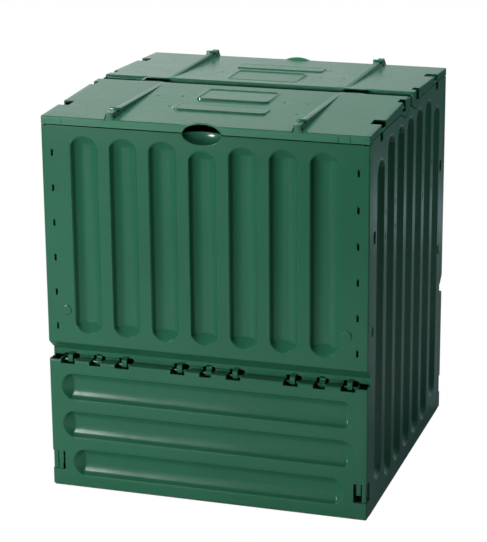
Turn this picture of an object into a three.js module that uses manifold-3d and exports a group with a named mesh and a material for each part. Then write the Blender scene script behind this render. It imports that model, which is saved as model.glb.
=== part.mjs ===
// Garden compost bin of moulded plastic: two side walls, an upper wall front and rear that hooks on to
// them, an emptying flap hung under each upper wall, and a two-part lid hinged to a beam at the ridge.
// Millimetres, +Z up, -Y is the front. The origin lies on the ground under the middle of the bin.

import * as THREE from 'three';
import Module from 'manifold-3d';
import { mergeVertices } from 'three/addons/utils/BufferGeometryUtils.js';

const wasm = await Module();
wasm.setup();

// The bin as a whole.
const binWidth = 800;
const binDepth = 800;
const ridgeHeight = 950;
const wall = 4;
const fit = 0.4;
const overrun = 6;

// Heights of the parting lines, from the ridge down and from the ground up.
const lidFall = 14;
const eaveSkirt = 21;
const sideRise = 4;
const flapFoot = 2.5;
const flapHeight = 327.5;
const flapGap = 3;
const eaveTop = ridgeHeight - lidFall;
const wallTop = eaveTop - eaveSkirt;
const sideTop = wallTop + sideRise;
const flapTop = flapFoot + flapHeight;

// How the corners lap: the front and rear pieces turn round the corner, the side walls step in behind.
const cornerReturn = 27;
const flangeTopDrop = 10;
const flangeLap = 64;
const flapFlangeLap = 24;
const setClearDrop = 16;

// The ribbing: long troughs with sloping ends, pressed into every wall.
const channelCount = 7;
const channelMargin = 106.5;
const channelHalf = 33.5;
const channelDepth = 21;
const channelSteps = 6;
const troughShares = [
  { depth: 0, width: 1, end: 0, bow: 1 },
  { depth: 0.42, width: 0.9, end: 0.36, bow: 0.62 },
  { depth: 0.78, width: 0.6, end: 0.66, bow: 0.3 },
  { depth: 1, width: 0.22, end: 0.86, bow: 0.1 },
];
const tubShares = [
  { depth: 0, width: 1, end: 0, bow: 1 },
  { depth: 1, width: 0.66, end: 0.5, bow: 0.4 },
];

// Upper wall: trough ends, the fold above the flap, and the strip that carries the flap.
const upperChannelTop = 22;
const upperChannelFoot = 26;
const handChannelDrop = 16;
const stripHeight = 15;
const stripDepth = 33;
const foldHeight = 28;
const topLip = 15;
const stripBottom = flapTop + flapGap;
const foldBottom = stripBottom + stripHeight;
const foldTop = foldBottom + foldHeight;

// Hooking slots up both edges of an upper wall, and the lugs of the side walls that sit in them.
const slotCount = 6;
const slotInset = 26;
const slotWidth = 5.5;
const slotHeight = 18;
const slotTopDrop = 66;
const slotFootRise = 42;
const lugHeight = 7;
const lugProud = 3;

// Studs that lock an upper wall to the side walls behind it.
const studInset = 51;
const studRise = 83;
const studHeadRadius = 12.5;
const studHeadRise = 2.4;
const studRadius = 5;
const studBarb = 0.8;
const studTail = 2;
const studSegments = 12;

// Hand recess: an ellipse on the parting line, a bowl in the wall below and a hood on the lid above.
const handHalfWidth = 47.5;
const handHalfHeight = 24.5;
const handDepth = 30;
const hoodWall = 3.5;
const handSegments = 20;

// Emptying flap: a shallow tray.
const flapLipDepth = 28;
const bevelHeight = 3;
const bevelDepth = 2.5;
const flapChannelDrop = 67.5;
const flapChannelPitch = 98.25;
const flapChannelCount = 3;
const flapChannelInset = 30;
const flapFootChannelInset = 55;

// Flap hinges: three sets of clips, each with two outer clips and a middle one turned the other way.
const hingeSetInset = 118;
const clipSpacing = 70;
const clipNotch = 36;
const clipNotchDrop = 9;
const clipWidth = 13;
const middleNotch = 29;
const middleClipWidth = 14;
const flapAxisDepth = 24;
const flapAxisDrop = 6;
const flapPinRadius = 3.5;
const clipWall = 3.2;
const clipSegments = 6;
const outerClipArc = [20, 245];
const middleClipArc = [70, -150];
const setCutHeight = 5;
const setCutMargin = 5;
const gussetDrop = 26;

// Flap catch: a cut-out in each lower corner of the flap, and a tongue and a bar of the side wall in it.
const catchInset = 33;
const catchFoot = 43;
const catchHeight = 48;
const tongueWidth = 11;
const tongueInset = 17;
const tongueRise = 14;
const barInset = 2.3;
const barWidth = 11.5;
const barRise = 2;
const catchProud = 3;

// Side wall: trough ends, notches of its top edge, openings near its upright edges.
const sideChannelTop = 26;
const sideChannelTopOuter = 62;
const sideChannelFoot = 36;
const sideChannelFootOuter = 65;
const vCentre = 52;
const vHalf = 50;
const vDepth = 18;
const windNotchInset = 108;
const windNotchWidth = 26;
const windNotchDepth = 19;
const edgeInset = 50;
const gripDrop = 233;
const gripWidth = 20;
const gripTall = 30;
const ventWidth = 6;
const ventTall = 13;
const ventDrops = [198, 259];
const footFlange = 20;

// Ridge beam: an upturned channel on a seat of each side wall, with posts for the lids' hinge pins.
const beamWidth = 38;
const beamTall = 20;
const beamEndGap = 1;
const seatReach = 24;
const postSpacing = 516;
const postWidth = 24;
const postStem = 14;
const postArm = 5;
const postSink = 1;
const postClipArc = [140, 400];

// Lids.
const ridgeGap = 44;
const ridgeFlange = 20;
const lidAxisInset = 6;
const lidAxisDrop = 13;
const lidPinRadius = 4;
const lidNotchWidth = 60;
const lidNotchDepth = 18;
const lidNotchRoof = 5;
const lidGussetDrop = 19;
const lidGussetLength = 24;
const ribSpacing = 456;
const ribWidth = 16;
const ribRise = 2;
const ribEndGap = 23;
const ribSetback = 15;
const ribFoot = 0.5;
const ribFlare = 5;
const knobRadius = 4.8;
const knobLength = 24;
const knobSetback = 44;
const knobSegments = 10;
const eaveNotchInset = 127;
const eaveNotchLength = 40;
const eaveNotchReach = 28;
const eaveNotchSill = 6;
const ridgeNotchCentre = 71;
const ridgeNotchLength = 30;
const ridgeNotchReach = 14;
const catchTongueDrop = 16;
const catchTongueWidth = 18;
const plateRise = 1;
const upperPlateDrop = 20;
const upperPlateLength = 113;
const upperPlateWidth = 190;
const lowerPlateDrop = 168.5;
const lowerPlateLength = 77;
const lowerPlateWidth = 230;

// Colours of the moulded plastic.
const green = { color: 0x2f6a4f, roughness: 0.42, metalness: 0 };

// Turns a closed geometry into a solid that can be joined and cut.
function toSolid(geometry) {
  geometry.deleteAttribute('normal');
  geometry.deleteAttribute('uv');
  const merged = mergeVertices(geometry);
  const points = merged.attributes.position;
  const corners = Array.from(merged.index.array);
  const faces = [];
  for (let i = 0; i < corners.length; i += 3) {
    const [a, b, c] = corners.slice(i, i + 3);
    if (a !== b && b !== c && c !== a) faces.push([a, b, c]);
  }
  if (signedVolume(points, faces) < 0) faces.forEach((face) => face.reverse());
  return new wasm.Manifold(new wasm.Mesh({
    numProp: 3,
    vertProperties: new Float32Array(points.array),
    triVerts: new Uint32Array(faces.flat()),
  }));
}

// Six times the volume inside a set of faces, negative when they point inwards.
function signedVolume(points, faces) {
  const [a, b, c] = [new THREE.Vector3(), new THREE.Vector3(), new THREE.Vector3()];
  return faces.reduce((sum, face) => {
    [a, b, c].forEach((corner, i) => corner.fromBufferAttribute(points, face[i]));
    return sum + a.dot(b.cross(c));
  }, 0);
}

// Turns a finished solid back into a geometry.
function toGeometry(solid) {
  const mesh = solid.getMesh();
  const geometry = new THREE.BufferGeometry();
  geometry.setAttribute('position', new THREE.BufferAttribute(mesh.vertProperties, 3));
  geometry.setIndex(new THREE.BufferAttribute(mesh.triVerts, 1));
  geometry.computeVertexNormals();
  return geometry;
}

// A block between two values on each axis, in either order.
function block([x0, x1], [y0, y1], [z0, z1]) {
  const geometry = new THREE.BoxGeometry(Math.abs(x1 - x0), Math.abs(y1 - y0), Math.abs(z1 - z0));
  geometry.translate((x0 + x1) / 2, (y0 + y1) / 2, (z0 + z1) / 2);
  return toSolid(geometry);
}

// An outline of [y, z] points drawn out along X.
function alongX(outline, [x0, x1]) {
  const shape = new THREE.Shape(outline.map(([y, z]) => new THREE.Vector2(y, z)));
  const geometry = new THREE.ExtrudeGeometry(shape, { depth: x1 - x0, bevelEnabled: false, steps: 1 });
  const turn = new THREE.Matrix4().makeBasis(axisY, axisZ, axisX);
  geometry.applyMatrix4(turn);
  geometry.translate(x0, 0, 0);
  return toSolid(geometry);
}

// An outline of [x, z] points drawn out along Y.
function alongY(outline, [y0, y1]) {
  const shape = new THREE.Shape(outline.map(([x, z]) => new THREE.Vector2(x, z)));
  const geometry = new THREE.ExtrudeGeometry(shape, { depth: y1 - y0, bevelEnabled: false, steps: 1 });
  const turn = new THREE.Matrix4().makeBasis(axisX, axisZ, axisY.clone().negate());
  geometry.applyMatrix4(turn);
  geometry.translate(0, y1, 0);
  return toSolid(geometry);
}

// A round bar along X.
function barX(radius, segments, [x0, x1], y, z) {
  const geometry = new THREE.CylinderGeometry(radius, radius, x1 - x0, segments);
  geometry.rotateZ(Math.PI / 2);
  geometry.translate((x0 + x1) / 2, y, z);
  return toSolid(geometry);
}

// A round bar along Y.
function barY(radius, segments, x, [y0, y1], z) {
  const geometry = new THREE.CylinderGeometry(radius, radius, Math.abs(y1 - y0), segments);
  geometry.translate(x, (y0 + y1) / 2, z);
  return toSolid(geometry);
}

// A part of a ring round a pin along X, between two angles in degrees that turn from +Y towards +Z.
function clipRing(inner, [from, to], [x0, x1], y, z) {
  const step = (to - from) * degree / clipSegments;
  const turns = Array.from({ length: clipSegments + 1 }, (_, i) => from * degree + i * step);
  const arc = (radius) => turns.map((a) => [y + radius * Math.cos(a), z + radius * Math.sin(a)]);
  return alongX([...arc(inner + clipWall), ...arc(inner).reverse()], [x0, x1]);
}

const axisX = new THREE.Vector3(1, 0, 0);
const axisY = new THREE.Vector3(0, 1, 0);
const axisZ = new THREE.Vector3(0, 0, 1);
const degree = Math.PI / 180;
const join = (solids) => solids.reduce((all, next) => all.add(next));
const cut = (solid, tools) => tools.reduce((rest, tool) => rest.subtract(tool), solid);
const both = [-1, 1];

// The outer face of the front, and of the right-hand side.
const frontFace = -binDepth / 2;
const sideFace = binWidth / 2;

// One level of a trough: straight sides with a half ellipse at each end.
function troughOutline(share, length, grow) {
  const half = share.width * channelHalf + grow;
  const bow = share.bow * channelHalf + grow;
  const straight = length / 2 - share.end * channelHalf - share.bow * channelHalf;
  const ends = both.flatMap((end) => Array.from({ length: channelSteps + 1 }, (_, i) => {
    const angle = Math.PI * i / channelSteps;
    return [-end * half * Math.cos(angle), -end * (straight + bow * Math.sin(angle))];
  }));
  return ends;
}

// A solid through several levels, each a list of [across, along] points at a depth below the face.
function loft(levels, place) {
  const count = levels[0].outline.length;
  const positions = levels.flatMap(({ outline, depth }) => outline.flatMap(([u, v]) => place(u, v, depth)));
  const index = [];
  for (let level = 0; level < levels.length - 1; level += 1) {
    for (let i = 0; i < count; i += 1) {
      const next = (i + 1) % count;
      const [a, b] = [level * count + i, level * count + next];
      index.push(a, b, b + count, a, b + count, a + count);
    }
  }
  const last = (levels.length - 1) * count;
  for (let i = 1; i < count - 1; i += 1) {
    index.push(0, i + 1, i, last, last + i, last + i + 1);
  }
  const geometry = new THREE.BufferGeometry();
  geometry.setAttribute('position', new THREE.Float32BufferAttribute(positions, 3));
  geometry.setIndex(index);
  return toSolid(geometry);
}

// The hollow of a trough, cut from the face inwards.
function trough(length, place) {
  const mouth = { outline: troughOutline(troughShares[0], length, 0), depth: -overrun };
  const levels = troughShares.map((share) => ({
    outline: troughOutline(share, length, 0),
    depth: share.depth * channelDepth,
  }));
  return loft([mouth, ...levels], place);
}

// The shell behind a trough, one wall thickness outside it.
function tub(length, place) {
  return loft(tubShares.map((share) => ({
    outline: troughOutline(share, length, wall),
    depth: share.depth * channelDepth + (share.depth > 0 ? wall : wall / 2),
  })), place);
}

// Adds the shells to a plate and cuts the troughs out of both.
function ribbed(plate, channels) {
  const shells = join([plate, ...channels.map(({ length, place }) => tub(length, place))]);
  return cut(shells, channels.map(({ length, place }) => trough(length, place)));
}

// Centres of the troughs of a wall of the given width, with the number of each from the middle.
function channelCentres(width) {
  const pitch = (width - 2 * channelMargin) / (channelCount - 1);
  return Array.from({ length: channelCount }, (_, i) => {
    const step = i - (channelCount - 1) / 2;
    return { step, at: step * pitch };
  });
}

// An upright trough in the front face.
function frontChannel(x, foot, top) {
  const middle = (foot + top) / 2;
  return { length: top - foot, place: (u, v, depth) => [x + u, frontFace + depth, middle + v] };
}

// A level trough in the front face.
function levelChannel(z, half) {
  return { length: 2 * half, place: (u, v, depth) => [v, frontFace + depth, z + u] };
}

// An upright trough in the right-hand side face.
function sideChannel(y, foot, top) {
  const middle = (foot + top) / 2;
  return { length: top - foot, place: (u, v, depth) => [sideFace - depth, y + u, middle + v] };
}

// An ellipsoid round the middle of the hand recess, grown by a wall.
function handVolume(grow) {
  const geometry = new THREE.SphereGeometry(1, handSegments, handSegments / 2);
  geometry.scale(handHalfWidth + grow, handDepth + grow, handHalfHeight + grow);
  geometry.translate(0, frontFace, wallTop);
  return toSolid(geometry);
}

// Heights of the hooking slots, shared by the upper walls and the lugs of the side walls.
const slotLow = foldTop + slotFootRise;
const slotHigh = wallTop - slotTopDrop;
const slotHeights = Array.from(
  { length: slotCount },
  (_, i) => slotLow + (slotHigh - slotLow) * i / (slotCount - 1),
);
const slotX = sideFace - slotInset;
const studX = sideFace - studInset;
const studZ = foldTop + studRise;

// Places along the side walls' top edge, and heights that follow the ridge.
const windNotchCentre = binDepth / 2 - windNotchInset;
const eaveNotchCentre = binDepth / 2 - eaveNotchInset;
const ribTop = ridgeHeight + ribRise;
const gripHeight = sideTop - gripDrop;

// Top of the beam's seat, where the peak between the two notches is as wide as the beam.
const seatTop = sideTop - vDepth + (vCentre - beamWidth / 2) * vDepth / vHalf;

// The hinge axes.
const flapAxisY = frontFace + flapAxisDepth;
const flapAxisZ = flapTop - flapAxisDrop;
const lidEdge = -ridgeGap / 2;
const lidAxisY = lidEdge - lidAxisInset;
const lidAxisZ = ridgeHeight - lidAxisDrop;

// Places of the flap's clips: the three of every set, with the notch and the clip of each.
const hingeSets = [hingeSetInset - sideFace, 0, sideFace - hingeSetInset];
const flapClips = hingeSets.flatMap((set) => [
  { x: set - clipSpacing, notch: clipNotch, width: clipWidth, fromAbove: true },
  { x: set, notch: middleNotch, width: middleClipWidth, fromAbove: false },
  { x: set + clipSpacing, notch: clipNotch, width: clipWidth, fromAbove: true },
]);

// One clip of the upper wall round a pin of the flap. An outer clip hangs from a shelf in front of the
// strip, and an arm behind the pin carries the middle one.
function flapClip({ x, width, fromAbove }) {
  const span = [x - width / 2, x + width / 2];
  const bore = flapPinRadius + fit;
  const stripFace = frontFace + stripDepth;
  const armTop = stripBottom + setCutHeight;
  if (fromAbove) {
    const clipFace = flapAxisY - bore - clipWall;
    const shelf = alongX([
      [stripFace + wall, armTop + wall],
      [stripFace, armTop + wall],
      [clipFace, armTop],
      [clipFace, flapAxisZ],
      [clipFace + clipWall, flapAxisZ],
      [clipFace + clipWall, armTop - clipWall],
      [stripFace + wall, armTop - clipWall],
    ], span);
    return clipRing(bore, outerClipArc, span, flapAxisY, flapAxisZ).add(shelf);
  }
  const arm = alongX([
    [stripFace, armTop + wall],
    [stripFace, armTop],
    [flapAxisY + bore, flapAxisZ + bore + clipWall / 2],
    [flapAxisY + bore + clipWall / 2, flapAxisZ],
    [stripFace + wall, armTop - wall],
    [stripFace + wall, armTop + wall],
  ], span);
  return clipRing(bore, middleClipArc, span, flapAxisY, flapAxisZ).add(arm);
}

// The upper wall of the front.
function upperWall() {
  const inner = frontFace + wall;
  const strip = frontFace + stripDepth;
  const innerHalf = sideFace - wall - fit;
  const section = alongX([
    [frontFace, wallTop],
    [frontFace, foldTop],
    [strip, foldBottom],
    [strip, stripBottom],
    [strip + wall, stripBottom],
    [strip + wall, foldBottom + wall / 2],
    [inner, foldTop + wall / 2],
    [inner, wallTop],
  ], [-innerHalf, innerHalf]);
  const returnBack = frontFace + cornerReturn;
  const cornerFold = foldTop - foldHeight * cornerReturn / stripDepth;
  const cornerPlates = both.map((side) => alongX([
    [frontFace, wallTop],
    [frontFace, foldTop],
    [returnBack, cornerFold],
    [returnBack, wallTop],
  ], side > 0 ? [sideFace - wall, sideFace] : [-sideFace, wall - sideFace]));
  const edgePlates = both.map((side) => block(
    [side * (sideFace - wall), side * (innerHalf - wall)],
    [frontFace, inner],
    [foldTop, wallTop],
  ));
  const foldEdges = both.map((side) => alongX([
    [frontFace, foldTop + wall],
    [frontFace, foldTop],
    [returnBack, cornerFold],
    [returnBack, cornerFold + wall],
  ], side > 0 ? [innerHalf - wall, sideFace] : [-sideFace, wall - innerHalf]));
  const lipHalf = innerHalf - 2 * wall;
  const lip = block([-lipHalf, lipHalf], [frontFace + wall / 2, inner + topLip], [wallTop - wall, wallTop]);
  const foot = foldTop + upperChannelFoot;
  const channels = channelCentres(binWidth).map(({ step, at }) => {
    const drop = step === 0 ? handChannelDrop : 0;
    return frontChannel(at, foot, wallTop - upperChannelTop - drop);
  });
  const shell = join([section, ...cornerPlates, ...edgePlates, ...foldEdges, lip]);
  const below = block([-sideFace, sideFace], [frontFace, 0], [foldTop, wallTop]);
  const bowl = handVolume(wall).intersect(below);
  const setHalf = clipSpacing + clipNotch / 2 + setCutMargin;
  const setCuts = hingeSets.map((set) => block(
    [set - setHalf, set + setHalf],
    [strip - overrun, strip + wall + overrun],
    [stripBottom - overrun, stripBottom + setCutHeight],
  ));
  const slots = both.flatMap((side) => slotHeights.map((z) => block(
    [side * slotX - slotWidth / 2, side * slotX + slotWidth / 2],
    [frontFace - overrun, inner + overrun],
    [z - slotHeight / 2, z + slotHeight / 2],
  )));
  const studHoles = both.map((side) => barY(
    studRadius + fit,
    studSegments,
    side * studX,
    [frontFace - overrun, inner + overrun],
    studZ,
  ));
  const body = cut(ribbed(shell.add(bowl), channels), [handVolume(0), ...setCuts, ...slots, ...studHoles]);
  return join([body, ...flapClips.map(flapClip)]);
}

// The emptying flap of the front.
function flap() {
  const inner = frontFace + wall;
  const lipBack = frontFace + flapLipDepth;
  const lipHalf = sideFace - flapFlangeLap - fit;
  const bevelFoot = flapTop - bevelHeight;
  const tray = alongX([
    [frontFace, flapFoot],
    [frontFace, bevelFoot],
    [frontFace + bevelDepth, flapTop],
    [lipBack, flapTop],
    [lipBack, flapTop - wall],
    [inner + bevelDepth, flapTop - wall],
    [inner, bevelFoot - wall],
    [inner, flapFoot + wall],
    [lipBack - wall, flapFoot + wall],
    [lipBack - wall, flapFoot],
  ], [-lipHalf, lipHalf]);
  const plateEnds = both.map((side) => alongX([
    [frontFace, flapFoot],
    [frontFace, bevelFoot],
    [frontFace + bevelDepth, flapTop],
    [inner + bevelDepth, flapTop],
    [inner, bevelFoot],
    [inner, flapFoot],
  ], side > 0 ? [lipHalf - wall, sideFace] : [-sideFace, wall - lipHalf]));
  const returns = both.map((side) => alongX([
    [frontFace, flapFoot],
    [frontFace, bevelFoot],
    [frontFace + bevelDepth, flapTop],
    [frontFace + cornerReturn, flapTop],
    [frontFace + cornerReturn, flapFoot],
  ], side > 0 ? [sideFace - wall, sideFace] : [-sideFace, wall - sideFace]));
  const gussets = flapClips.flatMap(({ x, notch }) => both.map((side) => {
    const edge = x + side * notch / 2;
    return alongX([
      [frontFace + wall / 2, flapTop - gussetDrop],
      [frontFace + wall / 2, bevelFoot],
      [frontFace + bevelDepth + wall / 2, flapTop - wall / 2],
      [lipBack, flapTop - wall / 2],
      [lipBack, flapAxisZ - flapPinRadius],
    ], side > 0 ? [edge, edge + wall] : [edge - wall, edge]);
  }));
  const pins = flapClips.map(({ x, notch }) => barX(
    flapPinRadius,
    knobSegments,
    [x - notch / 2 - wall / 2, x + notch / 2 + wall / 2],
    flapAxisY,
    flapAxisZ,
  ));
  const notches = flapClips.map(({ x, notch }) => block(
    [x - notch / 2, x + notch / 2],
    [frontFace - overrun, lipBack + overrun],
    [flapTop - clipNotchDrop, flapTop + overrun],
  ));
  const catches = both.map((side) => block(
    [side * (sideFace - catchInset), side * (sideFace + overrun)],
    [frontFace - overrun, frontFace + cornerReturn + overrun],
    [catchFoot, catchFoot + catchHeight],
  ));
  const channels = Array.from({ length: flapChannelCount }, (_, i) => {
    const inset = i === flapChannelCount - 1 ? flapFootChannelInset : flapChannelInset;
    return levelChannel(flapTop - flapChannelDrop - i * flapChannelPitch, sideFace - inset);
  });
  const shell = ribbed(join([tray, ...plateEnds, ...returns, ...gussets]), channels);
  return join([cut(shell, [...notches, ...catches]), ...pins]);
}

// The side wall on the right.
function sideWall() {
  const inner = sideFace - wall;
  const edge = binDepth / 2 - cornerReturn - fit;
  const step = inner - fit;
  const lap = binDepth / 2 - wall - fit;
  const vLow = sideTop - vDepth;
  const windHalf = windNotchWidth / 2;
  const half = [
    [edge, 0],
    [edge, sideTop],
    [windNotchCentre + windHalf, sideTop],
    [windNotchCentre + windHalf, sideTop - windNotchDepth],
    [windNotchCentre - windHalf, sideTop - windNotchDepth],
    [windNotchCentre - windHalf, sideTop],
    [vCentre + vHalf, sideTop],
    [vCentre, vLow],
    [vCentre - vHalf, sideTop],
  ];
  const outline = [...half, ...half.map(([y, z]) => [-y, z]).reverse()];
  const plate = alongX(outline, [inner, sideFace]);
  const flangeTop = wallTop - flangeTopDrop;
  const foldClear = foldTop + wall;
  const flapClear = flapTop - setClearDrop;
  const edges = both.flatMap((end) => {
    const stepIn = block([step - wall, sideFace], [end * (edge - wall), end * edge], [0, flangeTop]);
    const lapStrip = block([step - wall, step], [end * (edge - wall), end * lap], [0, flangeTop]);
    const upper = block([sideFace - flangeLap, step], [end * (lap - wall), end * lap], [foldClear, flangeTop]);
    const lower = block([sideFace - flapFlangeLap, step], [end * (lap - wall), end * lap], [0, flapClear]);
    return [stepIn, lapStrip, upper, lower];
  });
  const relief = both.map((end) => block(
    [sideFace - flangeLap - overrun, sideFace + overrun],
    [end * (binDepth / 2 - stripDepth - fit + wall / 2), end * (binDepth / 2 + overrun)],
    [flapClear, foldClear],
  ));
  const lugs = both.flatMap((end) => slotHeights.map((z) => block(
    [slotX - slotWidth / 2 + fit, slotX + slotWidth / 2 - fit],
    [end * (lap - wall / 2), end * (lap + lugProud)],
    [z + slotHeight / 2 - fit - lugHeight, z + slotHeight / 2 - fit],
  )));
  const catchTop = catchFoot + catchHeight - fit;
  const catchBack = lap - wall / 2;
  const catchFront = lap + catchProud;
  const tongueX = sideFace - tongueInset;
  const tongues = both.map((end) => block(
    [tongueX - tongueWidth, tongueX],
    [end * (lap - wall), end * catchFront],
    [catchFoot + tongueRise, catchTop],
  ));
  const bars = both.map((end) => block(
    [sideFace - barInset - barWidth, sideFace - barInset],
    [end * (catchBack - 2 * wall), end * catchFront],
    [catchFoot + barRise, catchTop],
  ));
  const bosses = both.map((end) => {
    const span = [sideFace - wall / 2, sideFace + studHeadRise];
    return barX(studHeadRadius, studSegments, span, end * (binDepth / 2 - edgeInset), studZ);
  });
  const seat = block(
    [inner - seatReach, inner + wall / 2],
    [-(beamWidth / 2 - wall - fit), beamWidth / 2 - wall - fit],
    [seatTop - beamTall / 2, seatTop],
  );
  const footPlate = block([inner - footFlange, inner + wall / 2], [-edge, edge], [0, wall]);
  const outer = (channelCount - 1) / 2;
  const channels = channelCentres(binDepth).map(({ step: number, at }) => {
    const isOuter = Math.abs(number) === outer;
    return sideChannel(
      at,
      isOuter ? sideChannelFootOuter : sideChannelFoot,
      sideTop - (isOuter ? sideChannelTopOuter : sideChannelTop),
    );
  });
  const grips = both.map((end) => block(
    [inner - overrun, sideFace + overrun],
    [end * (binDepth / 2 - edgeInset) - gripWidth / 2, end * (binDepth / 2 - edgeInset) + gripWidth / 2],
    [gripHeight - gripTall / 2, gripHeight + gripTall / 2],
  ));
  const centres = channelCentres(binDepth);
  const flats = centres.slice(1).map(({ at }, i) => (at + centres[i].at) / 2);
  const ventFlats = flats.filter((y) => Math.abs(y) > channelMargin);
  const vents = ventFlats.flatMap((y) => ventDrops.map((drop) => block(
    [inner - overrun, sideFace + overrun],
    [y - ventWidth / 2, y + ventWidth / 2],
    [sideTop - drop - ventTall / 2, sideTop - drop + ventTall / 2],
  )));
  const studHoles = both.map((end) => barY(
    studRadius + fit,
    studSegments,
    studX,
    [end * (lap + overrun), end * (lap - wall - overrun)],
    studZ,
  ));
  const shell = ribbed(join([plate, ...edges, seat, footPlate]), channels);
  const body = cut(shell, [...relief, ...grips, ...vents, ...studHoles]);
  return join([body, ...lugs, ...tongues, ...bars, ...bosses]);
}

// The beam under the ridge, with a post at each pair of lid pins.
function ridgeBeam() {
  const top = seatTop + fit + wall;
  const half = beamWidth / 2;
  const reach = sideFace - wall - beamEndGap;
  const channel = alongX([
    [-half, top - beamTall],
    [half, top - beamTall],
    [half, top],
    [-half, top],
  ], [-reach, reach]);
  const hollow = block(
    [-reach - overrun, reach + overrun],
    [wall - half, half - wall],
    [top - beamTall - overrun, top - wall],
  );
  const bore = lidPinRadius + fit;
  const armTop = lidAxisZ - bore - clipWall + postSink;
  const posts = both.flatMap((side) => {
    const x = side * postSpacing / 2;
    const span = [x - postWidth / 2, x + postWidth / 2];
    const stem = block(span, [-postStem / 2, postStem / 2], [top - wall / 2, armTop]);
    const arm = block(span, [lidAxisY, -lidAxisY], [armTop - postArm, armTop]);
    const front = clipRing(bore, postClipArc, span, lidAxisY, lidAxisZ);
    const rear = clipRing(bore, postClipArc, span, -lidAxisY, lidAxisZ);
    return [stem, arm, front, rear];
  });
  const bores = both.map((end) => barX(bore, knobSegments, [-reach, reach], end * lidAxisY, lidAxisZ));
  return cut(join([cut(channel, [hollow]), ...posts]), bores);
}

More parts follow.
